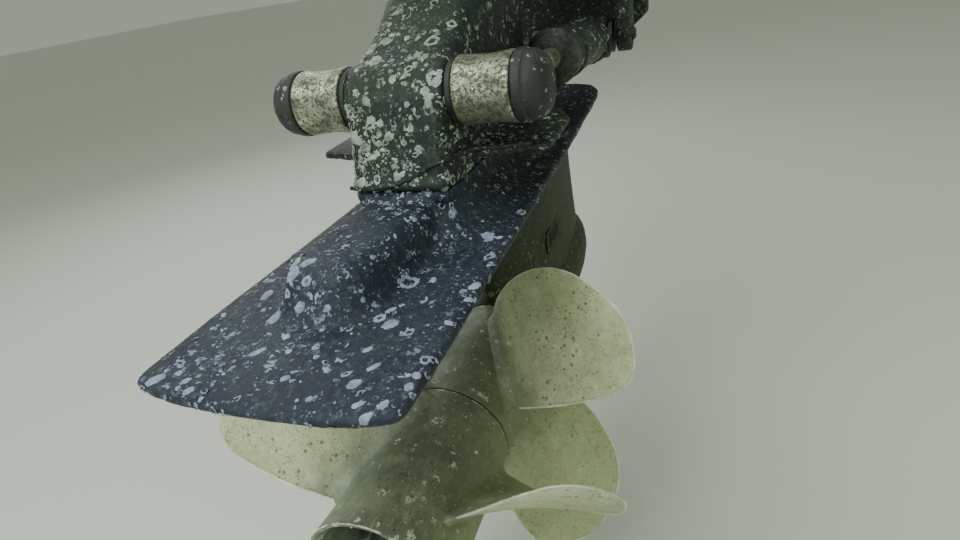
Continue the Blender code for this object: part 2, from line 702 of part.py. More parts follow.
def build_skeg():
    """Swept fin below the torpedo."""
    rings = []
    for share in (0.0, 0.35, 0.7, 0.92, 1.0):
        z = PROP_Z - 0.045 + (SKEG_BOTTOM - PROP_Z + 0.045) * share
        front = -0.110 - 0.120 * share ** 1.15 - (0.012 if share == 1.0 else 0.0)
        back = -0.318 - 0.022 * share + (0.008 if share == 1.0 else 0.0)
        half = 0.5 * SKEG_THICK * (1.0 - 0.45 * share)
        rings.append(section(z, front, 0.55 * front + 0.45 * back, back, half, 2.0, 1.7, 20))
    return loft(list(reversed(rings)), "skeg")


def build_ridge():
    """Rounded ridge on the plate behind the leg, which veers a little to port."""
    levels = [(-0.004, -0.006, -0.006), (0.0006, -0.003, -0.003), (0.005, 0.0, 0.0),
              (0.5 * RIDGE_HEIGHT, 0.003, 0.007), (0.8 * RIDGE_HEIGHT, 0.006, 0.012),
              (RIDGE_HEIGHT, 0.013, 0.022)]
    start, middle = -0.430, -0.530
    rings = []
    for rise, inset, shorter in levels:
        ring = section(PLATE_TOP + rise, start, middle, RIDGE_END + shorter, RIDGE_HALF - inset, 3.0, 3.0, 24)
        rings.append([(x + RIDGE_VEER * (start - y) / (start - RIDGE_END), y, z) for x, y, z in ring])
    return loft(rings, "ridge")


def inlet_box(side, inset, depth, out):
    """Block on one side of the strut where a water inlet lies."""
    half_l, half_h = 0.5 * INLET_LENGTH - inset, 0.5 * INLET_HEIGHT - inset
    x0, x1 = sorted((side * (INLET_FACE - depth), side * (INLET_FACE + out)))
    return box((x0, INLET_Y - half_l, INLET_Z - half_h), (x1, INLET_Y + half_l, INLET_Z + half_h))


def build_gearcase(tilt):
    """Gearcase casting: strut, plate, torpedo, skeg and ridge in one piece."""
    upper, lower = build_strut()
    case = add(build_plate(), upper, lower, build_torpedo(), build_skeg(), build_ridge())
    socket_r = (OUTER_SHAFT_R + FIT) / math.cos(math.pi / BORE_SIDES)
    socket = turned([(-0.05, socket_r), (SHAFT_SOCKET, socket_r)],
                    (0, HUB_FRONT, PROP_Z), (0, 1, 0), BORE_SIDES)
    case = cut(case, socket)
    for _, side in SIDES:
        case = cut(case, inlet_box(side, 0.0, 0.0, 0.03), inlet_box(side, 0.004, INLET_DEPTH, 0.002))
    finish(case, "gearcase", "plate_paint", tilt)


def build_inlets(tilt):
    """Slotted water inlets that close the pockets in the strut."""
    for word, side in SIDES:
        x0 = side * (INLET_FACE + FIT)
        x1 = side * (INLET_FACE + FIT + 0.0025)
        low, high = sorted((x0, x1))
        half_l, half_h = 0.5 * INLET_LENGTH - 2 * FIT, 0.5 * INLET_HEIGHT - 2 * FIT
        plate = box((low, INLET_Y - half_l, INLET_Z - half_h), (high, INLET_Y + half_l, INLET_Z + half_h))
        step = (INLET_LENGTH - 0.012) / INLET_BARS
        for k in range(INLET_BARS):
            y = INLET_Y - 0.5 * step * (INLET_BARS - 1) + step * k
            slot = box((low - 0.01, y - 0.28 * step, INLET_Z - 0.36 * INLET_HEIGHT),
                       (high + 0.01, y + 0.28 * step, INLET_Z + 0.36 * INLET_HEIGHT))
            plate = cut(plate, slot)
        finish(plate, word + "_water_inlet", "black_paint", tilt)


def build_plate_anode(tilt):
    """Sacrificial block under the plate, behind the propellers."""
    top = PLATE_TOP - PLATE_THICK - FIT
    block = box((-ANODE_HALF, ANODE_BACK, top - ANODE_HEIGHT), (ANODE_HALF, ANODE_BACK + ANODE_LENGTH, top))
    finish(bevelled(block, 0.003, 1), "plate_anode", "zinc", tilt)


def build_cross_pin(tilt):
    """Pin across the leg, with a washer inside and a cap outside each ram eye."""
    pin = turned([(-PIN_REACH, CROSS_PIN_R - 0.002), (-PIN_REACH + 0.002, CROSS_PIN_R), (PIN_REACH - 0.002, CROSS_PIN_R),
                  (PIN_REACH, CROSS_PIN_R - 0.002)], (0, PIN_Y, PIN_Z), (1, 0, 0), BORE_SIDES)
    finish(pin, "cross_pin", "dark_metal", tilt)
    for word, side in SIDES:
        washer = tube(PIN_BOSS_FACE + FIT, EYE_INNER - 2 * FIT, WASHER_R, CROSS_PIN_R + FIT,
                      (0, PIN_Y, PIN_Z), (side, 0, 0), SMALL_ROUND)
        finish(washer, word + "_pin_washer", "rubber", tilt)
        start = EYE_OUTER + 2 * FIT
        profile = [(start, CAP_R - 0.001), (start + 0.0015, CAP_R), (start + 0.4 * CAP_LENGTH, CAP_R),
                   (start + 0.68 * CAP_LENGTH, CAP_R * 0.93), (start + 0.88 * CAP_LENGTH, CAP_R * 0.78),
                   (start + CAP_LENGTH, CAP_R * 0.55)]
        cap = turned(profile, (0, PIN_Y, PIN_Z), (side, 0, 0), SMALL_ROUND)
        seat = turned([(EYE_OUTER - 0.01, CROSS_PIN_R + FIT), (PIN_REACH + FIT, CROSS_PIN_R + FIT)],
                      (0, PIN_Y, PIN_Z), (side, 0, 0), BORE_SIDES)
        finish(cut(cap, seat), word + "_pin_cap", "rubber", tilt)


def ram_direction():
    """From the cross pin to the fork's ram pin: the unit vector and length."""
    line = Vector((0.0, TILT_Y - PIN_Y, TILT_Z - RAM_DROP - PIN_Z))
    return line.normalized(), line.length


def build_rams(tilt):
    """Trim rams: the rod's eye turns on the cross pin, the barrel slides on it."""
    along, length = ram_direction()
    for word, side in SIDES:
        x_mid = side * 0.5 * (EYE_INNER + EYE_OUTER)
        half = 0.5 * (EYE_OUTER - EYE_INNER)
        pivot = axis_empty(word + "_rod_axis", (x_mid, PIN_Y, PIN_Z), tilt)
        slide = axis_empty(word + "_slide_axis", (x_mid, PIN_Y, PIN_Z), pivot)
        centre = Vector((x_mid, PIN_Y, PIN_Z))
        eye = turned([(-half, EYE_R - 0.0012), (-half + 0.0012, EYE_R), (half - 0.0012, EYE_R),
                      (half, EYE_R - 0.0012)], centre, (1, 0, 0))
        rod = turned([(EYE_R - 0.008, NECK_R), (EYE_R + 0.5 * NECK_LENGTH, NECK_R),
                      (EYE_R + NECK_LENGTH, ROD_R), (ROD_END, ROD_R)], centre, along, BORE_SIDES)
        rod = add(eye, rod)
        hole = turned([(-half - 0.01, CROSS_PIN_R + FIT), (half + 0.01, CROSS_PIN_R + FIT)],
                      centre, (1, 0, 0), BORE_SIDES)
        finish(cut(rod, hole), word + "_rod", "bright_metal", pivot)
        build_barrel(word, centre, along, length, slide)


def build_barrel(word, centre, along, length, slide):
    """Barrel with its raised band and base eye, and the gland in its mouth."""
    mouth = MOUTH + GLAND_LENGTH * 0.5
    profile = [(mouth, BARREL_R), (BAND_AT, BARREL_R), (BAND_AT + 0.001, BAND_R),
               (BAND_AT + BAND_LENGTH - 0.001, BAND_R), (BAND_AT + BAND_LENGTH, BARREL_R),
               (length - BASE_EYE_R - 0.016, BARREL_R), (length - BASE_EYE_R - 0.003, BARREL_END_R),
               (length - BASE_EYE_R + 0.010, BARREL_END_R)]
    barrel = turned(profile, centre, along, SMALL_ROUND)
    half = 0.5 * (BASE_EYE_OUTER - BASE_EYE_INNER)
    base = centre + along * length
    eye = turned([(-half, BASE_EYE_R - 0.001), (-half + 0.001, BASE_EYE_R), (half - 0.001, BASE_EYE_R),
                  (half, BASE_EYE_R - 0.001)], base, (1, 0, 0), SMALL_ROUND)
    barrel = add(barrel, eye)
    hole = turned([(-half - 0.01, BASE_EYE_BORE), (half + 0.01, BASE_EYE_BORE)], base, (1, 0, 0), BORE_SIDES)
    bore = turned([(mouth - 0.01, BARREL_BORE), (BORE_END, BARREL_BORE)], centre, along, SMALL_ROUND)
    finish(cut(barrel, hole, bore), word + "_barrel", "black_paint", slide)
    stub = mouth - MOUTH
    gland = turned([(MOUTH, GLAND_R - 0.0035), (MOUTH + 0.003, GLAND_R), (MOUTH + stub - FIT, GLAND_R),
                    (MOUTH + stub - FIT, BARREL_BORE - FIT), (MOUTH + GLAND_LENGTH, BARREL_BORE - FIT)],
                   centre, along, SMALL_ROUND)
    hole_r = ROD_R + FIT
    hole = turned([(MOUTH - 0.01, hole_r), (MOUTH + GLAND_LENGTH + 0.01, hole_r)], centre, along, BORE_SIDES)
    finish(cut(gland, hole), word + "_gland", "dark_metal", slide)


def blade_edges(r_share):
    """Angles in degrees of the leading and trailing edge at a share of the span."""
    lead = 9.0 + 22.5 * r_share + 9.7 * r_share ** 3
    trail = 66.0 + 14.0 * r_share * (1.0 - r_share) + 2.3 * r_share ** 5 - 0.5 * r_share
    close = r_share ** 16
    middle = 53.0
    lead += (middle - 2.5 - lead) * close
    trail += (middle + 2.5 - trail) * close
    return lead, trail


def blade(tip_r, root_y, phase, hand, rows=9, columns=7):
    """One blade: a thick helicoid from inside the hub out to its rounded tip."""
    root_r = HUB_R - 0.004
    faces_a, faces_b = [], []
    for i in range(rows):
        share = math.sin(0.5 * math.pi * i / (rows - 1))
        radius = root_r + (tip_r - root_r) * share
        lead, trail = blade_edges(max(0.0, (radius - HUB_R) / (tip_r - HUB_R)))
        thick = BLADE_ROOT_THICK + (BLADE_TIP_THICK - BLADE_ROOT_THICK) * share
        row_a, row_b = [], []
        for j in range(columns):
            s = 0.5 - 0.5 * math.cos(math.pi * j / (columns - 1))
            angle = lead + (trail - lead) * s
            turn = math.radians(phase + hand * (angle - 9.0))
            y = root_y - (angle - 9.0) * PITCH / 360.0
            out = Vector((math.sin(turn), 0.0, math.cos(turn)))
            around = Vector((math.cos(turn), 0.0, -math.sin(turn))) * hand
            run = (around * 2 * math.pi * radius + Vector((0, -1, 0)) * PITCH).normalized()
            normal = out.cross(run).normalized() * hand
            half = 0.5 * max(BLADE_EDGE_THICK, thick * math.sqrt(max(0.0, 4 * s * (1 - s))))
            point = Vector((0, y, PROP_Z)) + out * radius
            row_a.append(point + normal * half)
            row_b.append(point - normal * half)
        faces_a.append(row_a)
        faces_b.append(row_b)
    rings = [row_a + list(reversed(row_b)) for row_a, row_b in zip(faces_a, faces_b)]
    return loft(rings, "blade")


def build_front_propeller(spin):
    """Front propeller: a hub and four left-handed blades, one casting."""
    start, end = HUB_FRONT - HUB_GAP, HUB_JOINT + 0.5 * HUB_GAP
    length = start - end
    hub = turned([(0, HUB_R - 0.001), (0.001, HUB_R), (length - 0.001, HUB_R), (length, HUB_R - 0.001)],
                 (0, start, PROP_Z), (0, -1, 0), HUB_SIDES)
    for k in range(FRONT_BLADES):
        phase = FRONT_PHASE + 360.0 * k / FRONT_BLADES
        hub = add(hub, blade(FRONT_TIP_R, FRONT_ROOT_Y, phase, 1))
    bore = turned([(-0.01, OUTER_SHAFT_R + FIT), (length + 0.01, OUTER_SHAFT_R + FIT)],
                  (0, start, PROP_Z), (0, -1, 0), BORE_SIDES)
    finish(cut(hub, bore), "front_propeller", "blade_metal", spin)
    shaft_end = HUB_JOINT - FRONT_NUT - 0.006
    shaft = tube(HUB_FRONT + SHAFT_SOCKET - 0.004, shaft_end, OUTER_SHAFT_R, INNER_SHAFT_R + FIT,
                 (0, 0, PROP_Z), (0, 1, 0), BORE_SIDES)
    finish(shaft, "outer_shaft", "dark_metal", spin)
    nut_start = end - FIT
    nut_bore = OUTER_SHAFT_R + FIT
    nut = tube(nut_start - FRONT_NUT, nut_start, FRONT_NUT_R, nut_bore, (0, 0, PROP_Z), (0, 1, 0), 12)
    finish(nut, "front_propeller_nut", "dark_metal", spin)


def vane(turn, start, end):
    """One of the vanes between the rear hub's shell and its inner tube."""
    half = 0.5 * VANE_THICK
    out = Vector((math.sin(turn), 0, math.cos(turn)))
    side = Vector((math.cos(turn), 0, -math.sin(turn)))
    rings = []
    for y in (start, end):
        ring = []
        for radius, sign in ((INNER_TUBE_R - 0.003, -1), (HUB_R - 0.002, -1), (HUB_R - 0.002, 1),
                             (INNER_TUBE_R - 0.003, 1)):
            ring.append(Vector((0, y, PROP_Z)) + out * radius + side * sign * half)
        rings.append(ring)
    return loft(rings, "vane")


def build_rear_propeller(spin):
    """Rear propeller: hollow hub with a flared exit and three blades."""
    start = HUB_JOINT - 0.5 * HUB_GAP
    length = start - HUB_EXIT
    outside = [(0, HUB_R - 0.001), (0.001, HUB_R), (length * 0.75, HUB_R + 0.0005)]
    outside += [(length * 0.9, HUB_R + 0.0015), (length - 0.001, EXIT_R), (length, EXIT_R - 0.001)]
    shell = turned(outside, (0, start, PROP_Z), (0, -1, 0), HUB_SIDES)
    inside_r = HUB_R - HUB_WALL
    inside = [(-0.01, inside_r), (length * 0.8, inside_r), (length * 0.95, inside_r)]
    inside.append((length + 0.01, EXIT_R - HUB_WALL * 0.6))
    hollow = turned(inside, (0, start, PROP_Z), (0, -1, 0), HUB_SIDES)
    for k in range(REAR_BLADES):
        phase = REAR_PHASE + 360.0 * k / REAR_BLADES
        shell = add(shell, blade(REAR_TIP_R, REAR_ROOT_Y, phase, -1))
    shell = cut(shell, hollow)
    tube_start = HUB_JOINT - FRONT_NUT - 0.012
    tube_end = HUB_EXIT + REAR_NUT + 0.012
    for k in range(VANES):
        turn = math.radians(360.0 * k / VANES)
        shell = add(shell, vane(turn, tube_start - 0.004, tube_end + 0.004))
    tube_length = tube_start - tube_end
    inner = turned([(0, INNER_TUBE_R), (tube_length, INNER_TUBE_R)], (0, tube_start, PROP_Z), (0, -1, 0))
    shell = add(shell, inner)
    bore_r = INNER_SHAFT_R + FIT
    bore = turned([(0.05, bore_r), (-0.3, bore_r)], (0, tube_start, PROP_Z), (0, 1, 0), BORE_SIDES)
    finish(cut(shell, bore), "rear_propeller", "blade_metal", spin)
    shaft_end = tube_end - 0.5 * REAR_NUT
    shaft = turned([(HUB_FRONT + SHAFT_SOCKET - 0.006, INNER_SHAFT_R), (shaft_end, INNER_SHAFT_R)],
                   (0, 0, PROP_Z), (0, 1, 0), BORE_SIDES)
    finish(shaft, "inner_shaft", "dark_metal", spin)
    nut = turned([(0, REAR_NUT_R), (REAR_NUT * 0.45, REAR_NUT_R), (REAR_NUT * 0.8, REAR_NUT_R * 0.7),
                  (REAR_NUT + 0.003, REAR_NUT_R * 0.35)], (0, tube_end - FIT, PROP_Z), (0, -1, 0), 12)
    seat = turned([(-0.05, INNER_SHAFT_R + FIT), (0.5 * REAR_NUT + FIT, INNER_SHAFT_R + FIT)],
                  (0, tube_end, PROP_Z), (0, -1, 0), BORE_SIDES)
    finish(cut(nut, seat), "rear_propeller_nut", "dark_metal", spin)


def seat_on_mount():
    """Move the whole drive so that the shield's mounting face holds the origin."""
    for obj in bpy.data.objects:
        if obj.parent is None:
            obj.location.y -= TRANSOM_Y
    bpy.context.view_layer.update()


def main():
    """Build every piece on the empties of its joints."""
    clear_scene()
    build_shield()
    build_swivel_pins()
    build_shield_anode()
    steer = axis_empty("steer_axis", (0, TILT_Y, TILT_Z))
    build_fork(steer)
    build_fork_pins(steer)
    build_boot(steer)
    tilt = axis_empty("tilt_axis", (0, TILT_Y, TILT_Z), steer)
    build_bell(tilt)
    build_upper_housing(tilt)
    build_cover(tilt)
    build_driveshaft_housing(tilt)
    build_gearcase(tilt)
    build_inlets(tilt)
    build_plate_anode(tilt)
    build_cross_pin(tilt)
    build_rams(tilt)
    build_front_propeller(axis_empty("front_spin_axis", (0, HUB_FRONT, PROP_Z), tilt))
    build_rear_propeller(axis_empty("rear_spin_axis", (0, HUB_JOINT, PROP_Z), tilt))
    seat_on_mount()


main()
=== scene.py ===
"""Looks of a motor-boat stern drive with twin contra-rotating propellers.

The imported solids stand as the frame. Castings, propellers, rams and the boot are
dressed or rebuilt here in metres: +Y forward to the boat, +X to starboard, +Z up.
"""
from __future__ import annotations

import logging
import math
from dataclasses import dataclass, field, replace
from enum import Enum

import bmesh
import bpy
from mathutils import Matrix, Vector, noise
from mathutils.bvhtree import BVHTree

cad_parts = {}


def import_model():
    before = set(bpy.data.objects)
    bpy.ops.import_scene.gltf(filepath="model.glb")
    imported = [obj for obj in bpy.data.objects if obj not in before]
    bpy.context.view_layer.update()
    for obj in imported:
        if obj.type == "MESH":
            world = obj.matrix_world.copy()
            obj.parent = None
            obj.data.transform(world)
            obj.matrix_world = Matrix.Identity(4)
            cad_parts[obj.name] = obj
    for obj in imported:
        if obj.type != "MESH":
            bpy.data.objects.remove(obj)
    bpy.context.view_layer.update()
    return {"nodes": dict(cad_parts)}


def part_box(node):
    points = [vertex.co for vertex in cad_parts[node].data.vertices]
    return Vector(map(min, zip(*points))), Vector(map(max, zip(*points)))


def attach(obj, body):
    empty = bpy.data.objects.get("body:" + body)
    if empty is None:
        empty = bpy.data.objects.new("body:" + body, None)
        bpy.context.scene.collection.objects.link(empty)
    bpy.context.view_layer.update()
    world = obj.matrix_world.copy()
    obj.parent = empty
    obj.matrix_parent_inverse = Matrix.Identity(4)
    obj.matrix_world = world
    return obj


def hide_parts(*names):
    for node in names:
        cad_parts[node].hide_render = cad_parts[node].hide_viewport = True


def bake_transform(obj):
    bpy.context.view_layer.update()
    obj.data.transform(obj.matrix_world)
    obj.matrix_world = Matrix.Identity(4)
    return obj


log = logging.getLogger("stern_drive")
Socket = bpy.types.NodeSocket
Value = float | tuple | Socket
Colour = tuple[float, float, float]
Profile = list[tuple[float, float]]

TILT_PIVOT = Vector((0.0, -0.120, 0.100))
CROSS_PIN = Vector((0.0, -0.540, -0.100))
SHAFT_HEIGHT = -0.4105
PLATE_TOP = -0.199
SHARP_ANGLE = math.radians(38.0)
SKIN_WAVES = ((1.0, 28.0), (0.6, 85.0), (0.35, 210.0))
# Below this height the finishes turn a darker green: painted shade under the plate.
PLATE_SHADE_LINE = -0.215
# From SHADE_FROM upwards the scars darken: painted shade of the hull, high on the leg.
SHADE_FROM, SHADE_TO = -0.080, -0.045


class Side(Enum):
    """Sides of the boat, as the sign of X."""

    PORT = -1
    STARBOARD = 1

    @property
    def word(self) -> str:
        """The side's name as the nodes spell it."""
        return self.name.lower()


class Slot(Enum):
    """Material slots of the record."""

    LEG = "leg_paint"
    PLATE = "plate_paint"
    STEEL = "dark_steel"
    RAM = "ram_steel"
    BLADE = "blade_bronze"
    RUBBER = "black_rubber"


class Graph:
    """Short calls that fill one node tree."""

    def __init__(self, tree: bpy.types.NodeTree) -> None:
        """Keep the tree that the calls fill.

        Args:
            tree: The node tree.
        """
        self.tree = tree

    def put(self, kind: str, values: dict | None = None, **settings: str | bpy.types.NodeTree) -> bpy.types.Node:
        """Add a node.

        Args:
            kind: The node's type name.
            values: Input name or index to a socket or a plain value.
            **settings: Properties of the node.

        Returns:
            The new node.
        """
        node = self.tree.nodes.new(kind)
        for key, value in settings.items():
            setattr(node, key, value)
        for key, value in (values or {}).items():
            self.feed(node.inputs[key], value)
        return node

    def feed(self, socket: Socket, value: Value) -> None:
        """Link a socket to an input, or set a plain value on it."""
        if isinstance(value, Socket):
            self.tree.links.new(value, socket)
        elif isinstance(value, tuple) and socket.type == "RGBA" and len(value) == 3:
            socket.default_value = (*value, 1.0)
        else:
            socket.default_value = value

    def math(self, operation: str, a: Value, b: Value = 0.0) -> Socket:
        """One Math node of two inputs; returns its result."""
        return self.put("ShaderNodeMath", {0: a, 1: b}, operation=operation).outputs[0]

    def times(self, a: Value, b: Value) -> Socket:
        """The product of two values."""
        return self.math("MULTIPLY", a, b)

    def vector(self, operation: str, a: Value, b: Value = (0.0, 0.0, 0.0), result: int = 0) -> Socket:
        """One Vector Math node of two inputs; returns the chosen result."""
        return self.put("ShaderNodeVectorMath", {0: a, 1: b}, operation=operation).outputs[result]

    def stretched(self, a: Value, factor: Value) -> Socket:
        """A vector times one factor."""
        return self.put("ShaderNodeVectorMath", {0: a, 3: factor}, operation="SCALE").outputs[0]

    def swirl(self, place: Socket, scale: Value, detail: float, rough: float) -> Socket:
        """A random vector that changes smoothly with the place, zero on average."""
        return self.vector("SUBTRACT", self.noise(place, scale, detail, rough).outputs["Color"], (0.5, 0.5, 0.5))

    def ramp(self, value: Socket, start: Value, end: Value) -> Socket:
        """A straight run from start to end as the value goes from 0 to 1."""
        return self.put("ShaderNodeMapRange", {0: value, 3: start, 4: end}).outputs[0]

    def between(self, value: Socket, low: Value, high: Value, start: float = 0.0, end: float = 1.0) -> Socket:
        """A smooth step from start to end as the value goes from low to high."""
        node = self.put("ShaderNodeMapRange", {0: value, 1: low, 2: high, 3: start, 4: end})
        node.interpolation_type = "SMOOTHSTEP"
        return node.outputs[0]

    def mix(self, share: Value, a: Value, b: Value) -> Socket:
        """A colour that goes from a to b as the share rises."""
        node = self.put("ShaderNodeMix", {0: share, 6: a, 7: b}, data_type="RGBA")
        return node.outputs[2]

    def noise(self, place: Socket, scale: Value, detail: float = 3.0, rough: float = 0.55) -> bpy.types.Node:
        """A 3D noise node at a place."""
        values = {"Vector": place, "Scale": scale, "Detail": detail, "Roughness": rough}
        return self.put("ShaderNodeTexNoise", values)

    def cells(self, place: Socket, scale: Value) -> bpy.types.Node:
        """A 3D Voronoi node that gives the distance to the nearest point."""
        return self.put("ShaderNodeTexVoronoi", {"Vector": place, "Scale": scale, "Randomness": 1.0})


@dataclass(frozen=True)
class GroupPlug:
    """One named socket of a node group."""

    label: str
    kind: str
    default: float | tuple | None = None


def start_group(name: str, family: str, inputs: list[GroupPlug], outputs: list[GroupPlug]) -> bpy.types.NodeTree:
    """Make an empty node group with named sockets.

    Args:
        name: Name of the group.
        family: ShaderNodeTree or GeometryNodeTree.
        inputs: The group's inputs.
        outputs: The group's outputs.

    Returns:
        The group, which has no nodes yet.
    """
    tree = bpy.data.node_groups.new(name, family)
    for plugs, way in ((inputs, "INPUT"), (outputs, "OUTPUT")):
        for plug in plugs:
            socket = tree.interface.new_socket(plug.label, in_out=way, socket_type="NodeSocket" + plug.kind)
            if plug.default is not None:
                socket.default_value = plug.default
    return tree


class SurfaceGroups:
    """Shader node groups that several finishes share, each built once."""

    def __init__(self) -> None:
        """Build the groups."""
        self.scars = self._scars()
        self.mottle = self._mottle()
        self.flecks = self._flecks()

    @staticmethod
    def _scars() -> bpy.types.NodeTree:
        """Round and ring-shaped marks where barnacles sat, one random size to a cell."""
        tree = start_group(
            "barnacle_scars", "ShaderNodeTree",
            [GroupPlug("Place", "Vector"), GroupPlug("Scale", "Float", 80.0), GroupPlug("Share", "Float", 0.5),
             GroupPlug("Rings", "Float", 0.5)],
            [GroupPlug("Mask", "Float"), GroupPlug("Tone", "Float")])
        graph = Graph(tree)
        given = graph.put("NodeGroupInput").outputs
        place, scale = given["Place"], given["Scale"]
        swirl = graph.swirl(place, graph.times(scale, 1.5), 4.0, 0.62)
        shift = graph.stretched(swirl, graph.math("DIVIDE", 1.15, scale))
        cell = graph.cells(graph.vector("ADD", place, shift), scale)
        lots = graph.put("ShaderNodeSeparateColor", {0: cell.outputs["Color"]}).outputs
        distance = cell.outputs["Distance"]
        kept = graph.math("LESS_THAN", lots[0], given["Share"])
        radius = graph.ramp(lots[1], 0.12, 0.50)
        soft = graph.math("SUBTRACT", radius, 0.07)
        disc = graph.between(distance, radius, soft)
        hollow = graph.between(distance, graph.times(radius, 0.34), graph.times(radius, 0.60))
        full = graph.math("GREATER_THAN", lots[2], given["Rings"])
        hollow = graph.math("MAXIMUM", hollow, full)
        worn = graph.noise(place, graph.times(scale, 2.2), 4.0, 0.68).outputs[0]
        worn = graph.between(worn, 0.43, 0.51)
        mask = graph.times(graph.times(kept, disc), graph.times(hollow, worn))
        graph.put("NodeGroupOutput", {"Mask": mask, "Tone": lots[2]})
        return tree

    @staticmethod
    def _mottle() -> bpy.types.NodeTree:
        """Cloudy variation at two sizes."""
        tree = start_group(
            "cloudy_mottle", "ShaderNodeTree",
            [GroupPlug("Place", "Vector"), GroupPlug("Scale", "Float", 30.0), GroupPlug("Contrast", "Float", 0.5)],
            [GroupPlug("Value", "Float")])
        graph = Graph(tree)
        given = graph.put("NodeGroupInput").outputs
        broad = graph.noise(given["Place"], given["Scale"], 4.0, 0.6).outputs[0]
        fine = graph.noise(given["Place"], graph.times(given["Scale"], 7.0), 3.0).outputs[0]
        both = graph.math("ADD", graph.times(broad, 0.68), graph.times(fine, 0.32))
        half = graph.math("SUBTRACT", 0.5, graph.times(given["Contrast"], 0.30))
        value = graph.between(both, graph.math("SUBTRACT", 0.5, half), graph.math("ADD", 0.5, half))
        graph.put("NodeGroupOutput", {"Value": value})
        return tree

    @staticmethod
    def _flecks() -> bpy.types.NodeTree:
        """Small dark or bright flecks, gathered in patches."""
        tree = start_group(
            "patchy_flecks", "ShaderNodeTree",
            [GroupPlug("Place", "Vector"), GroupPlug("Scale", "Float", 450.0), GroupPlug("Share", "Float", 0.3),
             GroupPlug("Patch Scale", "Float", 28.0)],
            [GroupPlug("Mask", "Float")])
        graph = Graph(tree)
        given = graph.put("NodeGroupInput").outputs
        cell = graph.cells(given["Place"], given["Scale"])
        lots = graph.put("ShaderNodeSeparateColor", {0: cell.outputs["Color"]}).outputs
        patch = graph.noise(given["Place"], given["Patch Scale"], 3.0, 0.6).outputs[0]
        share = graph.times(given["Share"], graph.between(patch, 0.36, 0.66, 0.15, 2.0))
        kept = graph.math("LESS_THAN", lots[0], share)
        radius = graph.ramp(lots[1], 0.20, 0.55)
        spot = graph.between(cell.outputs["Distance"], radius, graph.math("SUBTRACT", radius, 0.18))
        graph.put("NodeGroupOutput", {"Mask": graph.times(kept, spot)})
        return tree


def begin_material(name: str) -> tuple[Graph, bpy.types.Node, Socket]:
    """Start a material; returns its graph, Principled shader and own coordinates."""
    material = bpy.data.materials.new(name)
    material.use_nodes = True
    graph = Graph(material.node_tree)
    graph.material = material
    shader = material.node_tree.nodes["Principled BSDF"]
    return graph, shader, graph.put("ShaderNodeTexCoord").outputs["Object"]


class Finish:
    """What every finish does: lay shared groups, and end with a bump."""

    @staticmethod
    def lay(graph: Graph, group: bpy.types.NodeTree, values: dict) -> bpy.types.bpy_prop_collection:
        """Place a shared group; returns its outputs."""
        node = graph.put("ShaderNodeGroup", node_tree=group)
        for key, value in values.items():
            graph.feed(node.inputs[key], value)
        return node.outputs

    def cloud(self, graph: Graph, groups: SurfaceGroups, place: Socket, scale: float, contrast: float) -> Socket:
        """The shared mottle at a scale."""
        return self.lay(graph, groups.mottle, {"Place": place, "Scale": scale, "Contrast": contrast})["Value"]

    @staticmethod
    def relief(graph: Graph, shader: bpy.types.Node, heights: list[tuple]) -> None:
        """Chain Bump nodes into the shader.

        Args:
            graph: The material's graph.
            shader: Its Principled shader.
            heights: Pairs of a height socket and how deep it is, in metres.
        """
        normal = None
        for height, depth in heights:
            values = {"Height": height, "Distance": depth, "Strength": 1.0}
            bump = graph.put("ShaderNodeBump", values)
            if normal is not None:
                graph.feed(bump.inputs["Normal"], normal)
            normal = bump.outputs[0]
        graph.feed(shader.inputs["Normal"], normal)


